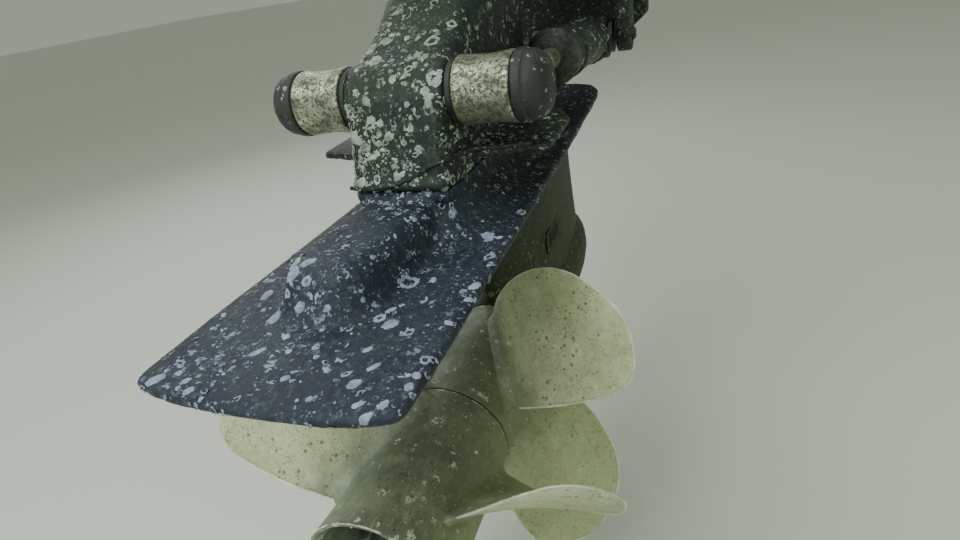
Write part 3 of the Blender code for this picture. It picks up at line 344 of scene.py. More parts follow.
@dataclass(frozen=True)
class FouledPaint(Finish):
    """Old dark bottom paint with a film of growth and pale barnacle scars.

    The scars turn from one tint to another along a line in the frame. Under the
    shade line, paint, film and scars turn a darker green as painted shade under the
    plate. High on the leg the scars darken as painted shade of the hull.
    """

    name: str
    paint: Colour
    film: Colour
    scar: Colour
    scar_far: Colour
    paint_far: Colour
    turn_from: float
    turn_to: float
    share: float = 0.5
    # The next colours are painted shade. Paint, film and scars take them below the shade line, in the shade under the
    # plate.
    shade_tint: Colour = (0.13, 0.19, 0.09)
    shaded_paint: Colour = (0.014, 0.023, 0.007)
    shade_line: float = PLATE_SHADE_LINE

    def _scarred(self, graph: Graph, groups: SurfaceGroups, place: Socket) -> Socket:
        """How much scar lies at a place: three sizes of it, crowded in patches."""
        patch = graph.noise(place, 15.0, 3.0, 0.6).outputs[0]
        crowd = graph.between(patch, 0.34, 0.66, 0.35, 1.35)
        total = None
        for scale, share, rings in ((100.0, 0.30, 0.55), (190.0, 0.52, 0.5), (390.0, 0.46, 0.3)):
            want = graph.times(crowd, share * self.share * 1.6)
            out = self.lay(graph, groups.scars, {"Place": place, "Scale": scale, "Share": want, "Rings": rings})
            mask = graph.times(out["Mask"], graph.between(out["Tone"], 0.0, 1.0, 0.25, 1.0))
            total = mask if total is None else graph.math("MAXIMUM", total, mask)
        return total

    def build(self, groups: SurfaceGroups) -> bpy.types.Material:
        """Make the material.

        Args:
            groups: The shared node groups.

        Returns:
            The finished material.
        """
        graph, shader, place = begin_material(self.name)
        axes = graph.put("ShaderNodeSeparateXYZ", {0: place}).outputs
        along = graph.math("SUBTRACT", axes["Y"], graph.times(axes["X"], 0.9))
        far = graph.between(along, self.turn_from, self.turn_to)
        film = self.cloud(graph, groups, place, 26.0, 0.9)
        # Below the shade line, paint and film turn to painted shade: the shade under the plate.
        below = graph.between(axes["Z"], self.shade_line + 0.006, self.shade_line - 0.006)
        paint = graph.mix(below, graph.mix(far, self.paint, self.paint_far), self.shaded_paint)
        layer = graph.mix(below, self.film, graph.mix(0.16, self.shaded_paint, self.shade_tint))
        fine = graph.between(graph.noise(place, 170.0, 5.0, 0.70).outputs[0], 0.46, 0.64, 0.0, 0.85)
        ground = graph.math("MAXIMUM", graph.times(film, 0.50), fine)
        colour = graph.mix(ground, paint, layer)
        total = self._scarred(graph, groups, place)
        tint = graph.mix(far, self.scar, self.scar_far)
        grime = graph.noise(place, 420.0, 3.0).outputs[0]
        tint = graph.mix(graph.between(grime, 0.35, 0.65, 0.45, 0.0), tint, self.film)
        # Below the shade line the scars also take the painted shade.
        tint = graph.mix(graph.times(below, 0.85), tint, self.shade_tint)
        # Scars high on the leg darken toward the paint: painted shade of the hull.
        high = graph.between(axes["Z"], SHADE_FROM, SHADE_TO)
        tint = graph.mix(graph.times(high, 0.42), tint, self.paint)
        graph.feed(shader.inputs["Base Color"], graph.mix(total, colour, tint))
        graph.feed(shader.inputs["Roughness"], graph.between(total, 0.0, 1.0, 0.56, 0.88))
        shader.inputs["Specular IOR Level"].default_value = 0.28
        rough = graph.noise(place, 240.0, 4.0, 0.62).outputs[0]
        self.relief(graph, shader, [(rough, 0.0012), (total, 0.0005)])
        return graph.material


@dataclass(frozen=True)
class ScarCrust(Finish):
    """Chalky remains of barnacles, darkened by a green painted shade below the shade line and, by the shade share, high
    on the leg.
    """

    name: str
    pale: Colour
    dull: Colour
    # The next colour is painted shade. The crust takes it below the shade line and high on the leg.
    shade_tint: Colour = (0.10, 0.15, 0.07)
    shade_line: float = PLATE_SHADE_LINE
    shade: float = 0.40

    def build(self, groups: SurfaceGroups) -> bpy.types.Material:
        """Make the material.

        Args:
            groups: The shared node groups.

        Returns:
            The finished material.
        """
        graph, shader, place = begin_material(self.name)
        cloud = self.cloud(graph, groups, place, 120.0, 1.0)
        height = graph.put("ShaderNodeSeparateXYZ", {0: place}).outputs["Z"]
        # Below the shade line the crust takes a green painted shade: the shade under the plate.
        below = graph.between(height, self.shade_line + 0.006, self.shade_line - 0.006)
        # High on the leg the crust darkens by the shade share: painted shade of the hull.
        high = graph.times(graph.between(height, SHADE_FROM, SHADE_TO), self.shade)
        colour = graph.mix(high, graph.mix(cloud, self.pale, self.dull), self.shade_tint)
        colour = graph.mix(below, colour, self.shade_tint)
        graph.feed(shader.inputs["Base Color"], colour)
        shader.inputs["Roughness"].default_value = 0.85
        grain = graph.noise(place, 900.0, 3.0).outputs[0]
        self.relief(graph, shader, [(grain, 0.0004)])
        return graph.material


@dataclass(frozen=True)
class FilmedBronze(Finish):
    """Propeller metal under a pale olive film, dark by the hub and flecked."""

    name: str = "filmed_bronze"
    pale: Colour = (0.64, 0.70, 0.43)
    dull: Colour = (0.37, 0.41, 0.22)
    hub: Colour = (0.080, 0.105, 0.072)
    # Ash streaks on the hub. The same colour also serves as painted light on the hub's port side.
    ash_and_painted_light: Colour = (0.34, 0.41, 0.33)
    fleck: Colour = (0.075, 0.080, 0.045)
    grime: Colour = (0.20, 0.225, 0.125)
    scar: Colour = (0.74, 0.80, 0.62)
    tan: Colour = (0.62, 0.50, 0.28)
    # Darker green for the blades low to starboard: painted shade.
    low: Colour = (0.26, 0.29, 0.13)
    tan_place: Vector = field(default_factory=lambda: Vector((-0.075, -0.640, -0.385)))

    def _metal(self, graph: Graph, place: Socket, radius: Socket, wander: Socket, cloud: Socket) -> Socket:
        """The pale film on the blades with its tan patch, and the dark streaked hub."""
        reach = graph.math("ADD", radius, graph.times(graph.math("SUBTRACT", wander, 0.5), 0.07))
        outward = graph.between(reach, 0.052, 0.105)
        near = graph.vector("DISTANCE", place, tuple(self.tan_place), 1)
        warm = graph.times(graph.between(near, 0.050, 0.010), graph.between(wander, 0.38, 0.60))
        blade = graph.mix(graph.times(warm, 0.85), graph.mix(cloud, self.dull, self.pale), self.tan)
        streak = graph.vector("MULTIPLY", place, (260.0, 70.0, 260.0))
        streak = graph.between(graph.noise(streak, 1.0, 5.0, 0.7).outputs[0], 0.54, 0.66)
        hub = graph.mix(graph.times(cloud, 0.35), self.hub, self.dull)
        hub = graph.mix(graph.times(streak, 0.42), hub, self.ash_and_painted_light)
        return graph.mix(outward, hub, blade)

    def _soiled(self, graph: Graph, groups: SurfaceGroups, place: Socket, colour: Socket) -> Socket:
        """A colour under patchy grime and dark flecks."""
        soot = graph.between(graph.noise(place, 210.0, 5.0, 0.72).outputs[0], 0.50, 0.66)
        dirt = graph.between(graph.noise(place, 22.0, 3.0, 0.6).outputs[0], 0.38, 0.62, 0.10, 0.75)
        colour = graph.mix(graph.times(soot, dirt), colour, self.grime)
        small = self.lay(graph, groups.flecks, {"Place": place, "Scale": 620.0, "Share": 0.34})["Mask"]
        large = self.lay(graph, groups.flecks,
                         {"Place": place, "Scale": 260.0, "Share": 0.12, "Patch Scale": 17.0})["Mask"]
        dark = graph.math("MAXIMUM", graph.times(small, 0.65), graph.times(large, 0.75))
        return graph.mix(dark, colour, self.fleck)

    def _by_side(self, graph: Graph, place: Socket, radius: Socket, wander: Socket, colour: Socket) -> Socket:
        """A colour with painted light, an ash tint, on the hub's lit port side, and painted shade, a darker green, low
        to starboard.
        """
        axes = graph.put("ShaderNodeSeparateXYZ", {0: place}).outputs
        # The hub's port side turns paler: painted light where the light falls.
        lit_port = graph.times(graph.between(axes["X"], 0.005, -0.040), graph.between(radius, 0.075, 0.058))
        colour = graph.mix(graph.times(lit_port, graph.between(wander, 0.35, 0.6, 0.1, 0.5)), colour, self.ash_and_painted_light)
        # Blades low to starboard turn darker green: painted shade.
        shaded_low_starboard = graph.times(graph.between(axes["X"], 0.02, 0.06), graph.between(axes["Z"], -0.335, -0.400))
        return graph.mix(graph.times(shaded_low_starboard, 0.46), colour, self.low)

    def build(self, groups: SurfaceGroups) -> bpy.types.Material:
        """Make the material.

        Args:
            groups: The shared node groups.

        Returns:
            The finished material.
        """
        graph, shader, place = begin_material(self.name)
        level = graph.vector("SUBTRACT", place, (0.0, 0.0, SHAFT_HEIGHT))
        radius = graph.vector("LENGTH", graph.vector("MULTIPLY", level, (1.0, 0.0, 1.0)), result=1)
        wander = graph.noise(place, 30.0, 4.0, 0.6).outputs[0]
        cloud = self.cloud(graph, groups, place, 20.0, 0.8)
        colour = self._soiled(graph, groups, place, self._metal(graph, place, radius, wander, cloud))
        marks = None
        for scale, share in ((85.0, 0.10), (190.0, 0.16), (420.0, 0.10)):
            out = self.lay(graph, groups.scars, {"Place": place, "Scale": scale, "Share": share, "Rings": 0.8})
            marks = out["Mask"] if marks is None else graph.math("MAXIMUM", marks, out["Mask"])
        colour = graph.mix(graph.times(marks, 0.6), colour, self.scar)
        graph.feed(shader.inputs["Base Color"], self._by_side(graph, place, radius, wander, colour))
        graph.feed(shader.inputs["Roughness"], graph.between(cloud, 0.0, 1.0, 0.62, 0.44))
        shader.inputs["Metallic"].default_value = 0.15
        brushed = graph.noise(place, 520.0, 3.0, 0.6).outputs[0]
        self.relief(graph, shader, [(brushed, 0.00035), (marks, 0.0003)])
        return graph.material


@dataclass(frozen=True)
class PittedSilver(Finish):
    """Bare bright metal of the rods, with dark pits and a yellow-green bloom."""

    name: str = "pitted_silver"
    bright: Colour = (0.58, 0.62, 0.46)
    bloom: Colour = (0.12, 0.145, 0.085)
    pit: Colour = (0.018, 0.020, 0.015)

    def build(self, groups: SurfaceGroups) -> bpy.types.Material:
        """Make the material.

        Args:
            groups: The shared node groups.

        Returns:
            The finished material.
        """
        graph, shader, place = begin_material(self.name)
        cloud = self.cloud(graph, groups, place, 60.0, 0.9)
        colour = graph.mix(cloud, self.bloom, self.bright)
        fine = self.lay(graph, groups.flecks,
                        {"Place": place, "Scale": 720.0, "Share": 0.40, "Patch Scale": 75.0})["Mask"]
        broad = graph.noise(place, 330.0, 4.0, 0.7).outputs[0]
        broad = graph.between(broad, 0.52, 0.60)
        stain = graph.between(graph.noise(place, 95.0, 4.0, 0.65).outputs[0], 0.50, 0.62)
        pits = graph.math("MAXIMUM", fine, graph.times(graph.math("MAXIMUM", broad, stain), 0.82))
        colour = graph.mix(pits, colour, self.pit)
        graph.feed(shader.inputs["Base Color"], colour)
        graph.feed(shader.inputs["Metallic"], graph.between(pits, 0.0, 1.0, 0.75, 0.0))
        graph.feed(shader.inputs["Roughness"], graph.between(cloud, 0.0, 1.0, 0.58, 0.30))
        self.relief(graph, shader, [(graph.math("SUBTRACT", 1.0, pits), 0.0003)])
        return graph.material


@dataclass(frozen=True)
class PlainMetal(Finish):
    """Dull metal with a worn film, such as pins, shafts, nuts and anodes."""

    name: str
    light: Colour
    dark: Colour
    metallic: float
    roughness: float
    depth: float

    def build(self, groups: SurfaceGroups) -> bpy.types.Material:
        """Make the material.

        Args:
            groups: The shared node groups.

        Returns:
            The finished material.
        """
        graph, shader, place = begin_material(self.name)
        cloud = self.cloud(graph, groups, place, 55.0, 0.9)
        flecks = self.lay(graph, groups.flecks, {"Place": place, "Scale": 420.0, "Share": 0.25})["Mask"]
        colour = graph.mix(cloud, self.dark, self.light)
        colour = graph.mix(graph.times(flecks, 0.7), colour, self.dark)
        graph.feed(shader.inputs["Base Color"], colour)
        shader.inputs["Metallic"].default_value = self.metallic
        graph.feed(shader.inputs["Roughness"],
                   graph.between(cloud, 0.0, 1.0, self.roughness + 0.15, self.roughness - 0.08))
        grain = graph.noise(place, 300.0, 4.0, 0.65).outputs[0]
        self.relief(graph, shader, [(grain, self.depth), (graph.math("SUBTRACT", 1.0, flecks), self.depth * 0.6)])
        return graph.material


@dataclass(frozen=True)
class FouledRubber(Finish):
    """Black rubber with a film of growth and a few pale marks."""

    name: str = "fouled_rubber"
    black: Colour = (0.010, 0.012, 0.012)
    film: Colour = (0.040, 0.052, 0.042)
    mark: Colour = (0.30, 0.34, 0.31)
    share: float = 0.22

    def build(self, groups: SurfaceGroups) -> bpy.types.Material:
        """Make the material.

        Args:
            groups: The shared node groups.

        Returns:
            The finished material.
        """
        graph, shader, place = begin_material(self.name)
        cloud = self.cloud(graph, groups, place, 75.0, 1.0)
        colour = graph.mix(graph.times(cloud, 0.8), self.black, self.film)
        out = self.lay(graph, groups.scars, {"Place": place, "Scale": 150.0, "Share": self.share, "Rings": 0.5})
        colour = graph.mix(graph.times(out["Mask"], 0.8), colour, self.mark)
        graph.feed(shader.inputs["Base Color"], colour)
        graph.feed(shader.inputs["Roughness"], graph.between(cloud, 0.0, 1.0, 0.48, 0.8))
        grain = graph.noise(place, 500.0, 3.0).outputs[0]
        self.relief(graph, shader, [(grain, 0.0004), (out["Mask"], 0.0003)])
        return graph.material


@dataclass
class Wardrobe:
    """Every finish of the drive, made once."""

    groups: SurfaceGroups = field(default_factory=SurfaceGroups)

    def __post_init__(self) -> None:
        """Build the materials."""
        green_black = (0.010, 0.016, 0.012)
        leg_film = (0.046, 0.066, 0.048)
        leg_scar = (0.36, 0.45, 0.38)
        self.leg = FouledPaint("leg_fouled_paint", paint=green_black, film=leg_film, scar=leg_scar,
                               scar_far=(0.40, 0.48, 0.43), paint_far=green_black,
                               turn_from=-0.42, turn_to=-0.62, share=0.66).build(self.groups)
        self.plate = FouledPaint("plate_fouled_paint", paint=(0.010, 0.015, 0.015), film=(0.050, 0.066, 0.076),
                                 scar=(0.30, 0.37, 0.31), scar_far=(0.36, 0.42, 0.60),
                                 paint_far=(0.011, 0.014, 0.034),
                                 turn_from=-0.48, turn_to=-0.72, share=0.66).build(self.groups)
        self.plain_leg = FouledPaint("upper_fouled_paint", paint=green_black, film=leg_film, scar=leg_scar,
                                     scar_far=leg_scar, paint_far=green_black,
                                     turn_from=0.0, turn_to=-1.0, share=0.30).build(self.groups)
        self.leg_crust = ScarCrust("leg_crust", (0.47, 0.56, 0.49), (0.12, 0.16, 0.12)).build(self.groups)
        self.plate_crust = ScarCrust("plate_crust", (0.40, 0.46, 0.64), (0.14, 0.17, 0.23)).build(self.groups)
        self.blade_crust = ScarCrust("blade_crust", (0.80, 0.84, 0.68), (0.40, 0.44, 0.31),
                                     shade_line=-9.0).build(self.groups)
        # Near-white beads along the blades' edges and the hubs' rims: a painted highlight where light catches the thin
        # edges.
        self.edge_highlight = PlainMetal("worn_bright_edge", (0.86, 0.90, 0.72), (0.48, 0.52, 0.38), 0.2, 0.5,
                                    0.0002).build(self.groups)
        self.bronze = FilmedBronze().build(self.groups)
        self.silver = PittedSilver().build(self.groups)
        self.rubber = FouledRubber().build(self.groups)
        self.cap = FouledRubber("fouled_cap", share=0.34, mark=(0.36, 0.40, 0.38)).build(self.groups)
        self.steel = PlainMetal("dull_steel", (0.10, 0.11, 0.095), (0.020, 0.022, 0.018), 0.5, 0.5,
                                0.0006).build(self.groups)
        self.zinc = PlainMetal("eaten_zinc", (0.42, 0.43, 0.40), (0.14, 0.145, 0.13), 0.3, 0.7,
                               0.0022).build(self.groups)
        self.rust = PlainMetal("rust_brown", (0.14, 0.045, 0.022), (0.045, 0.020, 0.012), 0.0, 0.8,
                               0.0007).build(self.groups)


def new_piece(name: str, bm: bmesh.types.BMesh, outward: bool = True) -> bpy.types.Object:
    """Turn a bmesh into a linked object.

    Args:
        name: The piece's name.
        bm: Its mesh, which is freed.
        outward: Whether to recalculate the normals.

    Returns:
        The new object, at the origin.
    """
    if outward:
        bmesh.ops.recalc_face_normals(bm, faces=bm.faces)
    mesh = bpy.data.meshes.new(name)
    bm.to_mesh(mesh)
    bm.free()
    piece = bpy.data.objects.new(name, mesh)
    bpy.context.scene.collection.objects.link(piece)
    return piece


def applied(piece: bpy.types.Object) -> bpy.types.Object:
    """Replace a piece's mesh by what its modifiers make, and drop them."""
    bpy.context.view_layer.update()
    graph = bpy.context.evaluated_depsgraph_get()
    mesh = bpy.data.meshes.new_from_object(piece.evaluated_get(graph))
    piece.modifiers.clear()
    piece.data = mesh
    return piece


def run_tree(carrier: bpy.types.Object, tree: bpy.types.NodeTree, values: dict) -> None:
    """Run a Geometry Nodes tree on a carrier and keep its result as a plain mesh.

    Args:
        carrier: The object whose mesh the tree starts from.
        tree: The tree.
        values: The values of its named inputs.
    """
    change = carrier.modifiers.new(tree.name, "NODES")
    change.node_group = tree
    for item in tree.interface.items_tree:
        if item.in_out == "INPUT" and item.name in values:
            change[item.identifier] = values[item.name]
    applied(carrier)


def join_solids(base: bpy.types.Object, tool: bpy.types.Object, operation: str = "UNION") -> bpy.types.Object:
    """Run one exact Boolean of tool on base and delete the tool."""
    change = base.modifiers.new("join", "BOOLEAN")
    change.operation = operation
    change.solver = "EXACT"
    change.object = tool
    applied(base)
    bpy.data.objects.remove(tool, do_unlink=True)
    return base


def dress(piece: bpy.types.Object, material: bpy.types.Material, body: str,
          node: str | None = None, smooth: bool = True) -> bpy.types.Object:
    """Shade, paint and seat a finished piece.

    Args:
        piece: The piece.
        material: Its finish.
        body: The body it rides on.
        node: The solid it stands for, if any.
        smooth: Whether to shade it smooth with sharp corners.

    Returns:
        The piece.
    """
    if smooth:
        piece.data.shade_smooth()
        piece.data.set_sharp_from_angle(angle=SHARP_ANGLE)
    piece.data.materials.clear()
    piece.data.materials.append(material)
    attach(piece, body)
    if node is not None:
        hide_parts(node)
    log.info("%s rides on %s with %d faces", piece.name, body, len(piece.data.polygons))
    return piece


def turned_piece(name: str, profile: Profile, centre: Vector, axis: Vector, count: int = 64,
                 hollow: bool = False) -> bpy.types.Object:
    """A turned solid.

    Args:
        name: The piece's name.
        profile: Distances along the axis with radii; a closed loop if hollow.
        centre: Where distance 0 lies.
        axis: The axis it is turned about.
        count: Faces round it.
        hollow: Whether the profile closes on itself round a bore.

    Returns:
        The new object.
    """
    axis = axis.normalized()
    side = axis.orthogonal().normalized()
    other = axis.cross(side)
    bm = bmesh.new()
    rows = []
    for along, radius in profile:
        row = []
        for k in range(count):
            a = 2.0 * math.pi * k / count
            row.append(bm.verts.new(centre + axis * along + (side * math.cos(a) + other * math.sin(a)) * radius))
        rows.append(row)
    pairs = list(zip(rows, rows[1:]))
    if hollow:
        pairs.append((rows[-1], rows[0]))
    for low, high in pairs:
        for k in range(count):
            j = (k + 1) % count
            bm.faces.new((low[k], low[j], high[j], high[k]))
    if not hollow:
        bm.faces.new(rows[0])
        bm.faces.new(rows[-1])
    return new_piece(name, bm)


def rounded(profile: Profile, radius: float, steps: int = 4) -> Profile:
    """Round the inner corners of a profile's points.

    Args:
        profile: The corners in order.
        radius: Radius of each corner, less where a side is short.
        steps: Points to an arc.

    Returns:
        The profile with each corner as a short curve.
    """
    out = [profile[0]]
    for before, corner, after in zip(profile, profile[1:], profile[2:]):
        here = Vector(corner)
        back, on = Vector(before) - here, Vector(after) - here
        cut = min(radius, 0.45 * back.length, 0.45 * on.length)
        start, end = here + back.normalized() * cut, here + on.normalized() * cut
        for k in range(steps + 1):
            t = k / steps
            point = start * (1 - t) ** 2 + here * 2 * t * (1 - t) + end * t * t
            out.append((point.x, point.y))
    out.append(profile[-1])
    return out


def rounded_loop(corners: Profile, radius: float) -> Profile:
    """A closed profile, with every corner but its first rounded."""
    return rounded(corners + [corners[0]], radius)[:-1]


@dataclass
class ScarSpread:
    """Crusts left by barnacles, strewn over a casting by Geometry Nodes.

    They crowd within reach of the focus, and thin out where a point lies less
    than thick_from along thick_side.
    """

    density: float
    smallest: float
    largest: float
    seed: int
    lift: float = 0.0007
    focus: Vector = field(default_factory=lambda: Vector((0.0, 0.0, 9.0)))
    reach: float = 0.035
    thick_side: Vector = field(default_factory=lambda: Vector((0.0, 0.0, 1.0)))
    thick_from: float = -9.0

    def _unit_crusts(self, graph: Graph) -> Socket:
        """The crusts' unit shapes, as instances to pick from.

        Args:
            graph: The graph that they are made in.

        Returns:
            A disc, a broken ring, an arc and a cluster.
        """
        disc = graph.put("GeometryNodeMeshCone", {"Vertices": 8, "Radius Top": 0.62, "Radius Bottom": 1.0,
                                                  "Depth": 2.0}).outputs["Mesh"]
        low = graph.put("GeometryNodeTransform", {"Geometry": disc, "Translation": (0.0, 0.0, -1.0)}).outputs[0]
        shapes = [low]
        for turns, thick in ((5.3, 0.26), (3.1, 0.36)):
            hoop = graph.put("GeometryNodeCurveArc", {"Resolution": 9, "Radius": 0.72, "Sweep Angle": turns}).outputs[0]
            wire = graph.put("GeometryNodeCurvePrimitiveCircle", {"Resolution": 4, "Radius": thick}).outputs[0]
            bow = graph.put("GeometryNodeCurveToMesh", {"Curve": hoop, "Profile Curve": wire,
                                                        "Fill Caps": True}).outputs[0]
            shapes.append(graph.put("GeometryNodeTransform", {"Geometry": bow, "Scale": (1.0, 1.0, 2.6)}).outputs[0])
        cluster = graph.put("GeometryNodeJoinGeometry")
        for x, y, size in ((-0.5, -0.3, 0.42), (0.45, -0.1, 0.55), (-0.1, 0.6, 0.34)):
            dot = graph.put("GeometryNodeTransform", {"Geometry": low, "Translation": (x, y, 0.0),
                                                      "Scale": (size, size, 1.0)}).outputs[0]
            graph.tree.links.new(dot, cluster.inputs[0])
        shapes.append(cluster.outputs[0])
        join = graph.put("GeometryNodeJoinGeometry")
        for shape in shapes:
            single = graph.put("GeometryNodeGeometryToInstance", {0: shape}).outputs[0]
            graph.tree.links.new(single, join.inputs[0])
        return join.outputs[0]

    def _tree(self) -> bpy.types.NodeTree:
        """The tree that strews the crusts."""
        tree = start_group(
            "strew_crusts", "GeometryNodeTree",
            [GroupPlug("Geometry", "Geometry"), GroupPlug("Density", "Float", 4000.0), GroupPlug("Seed", "Int", 1),
             GroupPlug("Smallest", "Float", 0.002), GroupPlug("Largest", "Float", 0.007),
             GroupPlug("Lift", "Float", 0.0007), GroupPlug("Focus", "Vector"), GroupPlug("Reach", "Float", 0.035),
             GroupPlug("Thick Side", "Vector"), GroupPlug("Thick From", "Float", -9.0),
             GroupPlug("Material", "Material")],
            [GroupPlug("Geometry", "Geometry")])
        graph = Graph(tree)
        given = graph.put("NodeGroupInput").outputs
        place = graph.put("GeometryNodeInputPosition").outputs[0]
        patch = graph.noise(place, 14.0, 3.0, 0.6).outputs[0]
        crowd = graph.between(patch, 0.38, 0.68, 0.12, 1.9)
        near = graph.vector("DISTANCE", place, given["Focus"], 1)
        near = graph.between(graph.math("DIVIDE", near, given["Reach"]), 0.4, 1.0, 3.0, 0.0)
        crowd = graph.math("ADD", crowd, near)
        side = graph.math("SUBTRACT", graph.vector("DOT_PRODUCT", place, given["Thick Side"], 1), given["Thick From"])
        crowd = graph.times(crowd, graph.between(side, -0.01, 0.01, 0.30, 1.0))
        spread = graph.put("GeometryNodeDistributePointsOnFaces",
                           {"Mesh": given["Geometry"], "Density": graph.times(given["Density"], crowd),
                            "Seed": given["Seed"]}).outputs
        chance = graph.put("FunctionNodeRandomValue", {2: 0.0, 3: 1.0, 8: 3}, data_type="FLOAT").outputs[1]
        skewed = graph.math("POWER", chance, 2.6)
        size = graph.ramp(skewed, given["Smallest"], given["Largest"])
        squeeze = graph.put("FunctionNodeRandomValue", {2: 0.62, 3: 1.0, 8: 5}, data_type="FLOAT").outputs[1]
        high = graph.put("FunctionNodeRandomValue", {2: 0.45, 3: 1.0, 8: 7}, data_type="FLOAT").outputs[1]
        scale = graph.put("ShaderNodeCombineXYZ", {0: size, 1: graph.times(size, squeeze),
                                                   2: graph.times(given["Lift"], high)}).outputs[0]
        spin = graph.put("FunctionNodeRandomValue", {2: 0.0, 3: 2.0 * math.pi, 8: 9}, data_type="FLOAT").outputs[1]
        spin = graph.put("FunctionNodeAxisAngleToRotation", {"Axis": (0.0, 0.0, 1.0), "Angle": spin}).outputs[0]
        turn = graph.put("FunctionNodeRotateRotation", {0: spread["Rotation"], 1: spin}, rotation_space="LOCAL")
        kind = graph.put("FunctionNodeRandomValue", {4: 0, 5: 3, 8: 11}, data_type="INT").outputs[2]
        strewn = graph.put("GeometryNodeInstanceOnPoints",
                           {"Points": spread["Points"], "Instance": self._unit_crusts(graph), "Pick Instance": True,
                            "Instance Index": kind, "Rotation": turn.outputs[0], "Scale": scale}).outputs[0]
        real = graph.put("GeometryNodeRealizeInstances", {0: strewn}).outputs[0]
        shift = graph.stretched(graph.swirl(place, 300.0, 3.0, 0.6), 0.0042)
        real = graph.put("GeometryNodeSetPosition", {"Geometry": real, "Offset": shift}).outputs[0]
        real = graph.put("GeometryNodeSetMaterial", {0: real, "Material": given["Material"]}).outputs[0]
        graph.put("NodeGroupOutput", {0: real})
        return tree

    def strew(self, host: bpy.types.Object, name: str, material: bpy.types.Material, body: str,
              slot: Slot) -> bpy.types.Object:
        """Strew crusts over a piece.

        Args:
            host: The piece that carries them.
            name: Name of the new piece.
            material: Their finish.
            body: The body they ride on.
            slot: The record's slot; not used.

        Returns:
            The crusts as one piece.
        """
        carrier = bpy.data.objects.new(name, host.data.copy())
        bpy.context.scene.collection.objects.link(carrier)
        values = {"Density": float(self.density), "Seed": self.seed, "Smallest": self.smallest,
                  "Largest": self.largest, "Lift": self.lift, "Focus": self.focus[:], "Reach": self.reach,
                  "Thick Side": self.thick_side[:], "Thick From": self.thick_from,
                  "Material": material}
        run_tree(carrier, self._tree(), values)
        return dress(carrier, material, body, smooth=False)


@dataclass(frozen=True)
class Scar:
    """One large scar that the drive is known by: where it lies and its shape."""

    place: tuple[float, float, float]
    size: float
    stretch: float = 1.0
    turn: float = 0.0
    hole: float = 0.0


class ScarPatch:
    """Flat ragged patches laid on a piece's skin."""

    def __init__(self, host: bpy.types.Object, lift: float = 0.0005) -> None:
        """Read the host's surface.

        Args:
            host: The piece that carries the scars.
            lift: How thick the patches are.
        """
        graph = bpy.context.evaluated_depsgraph_get()
        self.tree = BVHTree.FromObject(host, graph)
        self.lift = lift

    def _drop(self, scar: Scar, across: Vector, along: Vector, out: Vector, reach: float, angle: float,
              lift: float) -> Vector | None:
        """A point of the patch, dropped on the skin and lifted a little.

        Args:
            scar: The scar.
            across: One direction on the skin.
            along: The other direction on the skin.
            out: The skin's normal.
            reach: Distance from the scar's middle.
            angle: Angle round the scar, in radians.
            lift: Height over the skin.

        Returns:
            The point, or nothing where there is no skin.
        """
        spot = Vector(scar.place) + (across * math.cos(angle) * reach * scar.stretch + along * math.sin(angle) * reach)
        hit, normal, _, _ = self.tree.ray_cast(spot + out * 0.03, -out, 0.06)
        return None if hit is None else hit + normal * lift

    def lay(self, bm: bmesh.types.BMesh, scar: Scar, steps: int = 40) -> None:
        """Add one scar's skin to a mesh.

        Args:
            bm: The mesh.
            scar: The scar.
            steps: Points round it.
        """
        seat, out, _, _ = self.tree.find_nearest(Vector(scar.place))
        scar = replace(scar, place=tuple(seat))
        across = out.orthogonal().normalized()
        across.rotate(Matrix.Rotation(math.radians(scar.turn), 3, out))
        along = out.cross(across)
        levels = [(1.0, -0.0006), (0.97, 0.6 * self.lift), (0.86, self.lift), (0.6, self.lift), (0.3, self.lift)]
        if scar.hole:
            levels = [(1.0, -0.0006), (0.96, self.lift), (scar.hole + 0.10, self.lift), (scar.hole, -0.0006)]
        rings = []
        for share, lift in levels:
            ring = []
            for k in range(steps):
                angle = 2.0 * math.pi * k / steps
                seed = Vector(scar.place) * 900.0 + Vector((math.cos(angle), math.sin(angle), 0.0)) * 1.7
                ragged = 1.0 + 0.34 * noise.noise(seed) + 0.16 * noise.noise(seed * 3.1)
                point = self._drop(scar, across, along, out, scar.size * share * ragged, angle, lift)
                if point is None:
                    return
                ring.append(point)
            rings.append([bm.verts.new(point) for point in ring])
        for low, high in zip(rings, rings[1:]):
            for k in range(steps):
                bm.faces.new((low[k], low[(k + 1) % steps], high[(k + 1) % steps], high[k]))
        if not scar.hole:
            bm.faces.new(rings[-1])

    def build(self, name: str, scars: list[Scar], material: bpy.types.Material, body: str,
              slot: Slot) -> bpy.types.Object:
        """Lay every scar as one piece.

        Args:
            name: Name of the piece.
            scars: The scars.
            material: Their finish.
            body: The body they ride on.
            slot: The record's slot; not used.

        Returns:
            The piece.
        """
        bm = bmesh.new()
        for scar in scars:
            self.lay(bm, scar)
        return dress(new_piece(name, bm, outward=False), material, body)


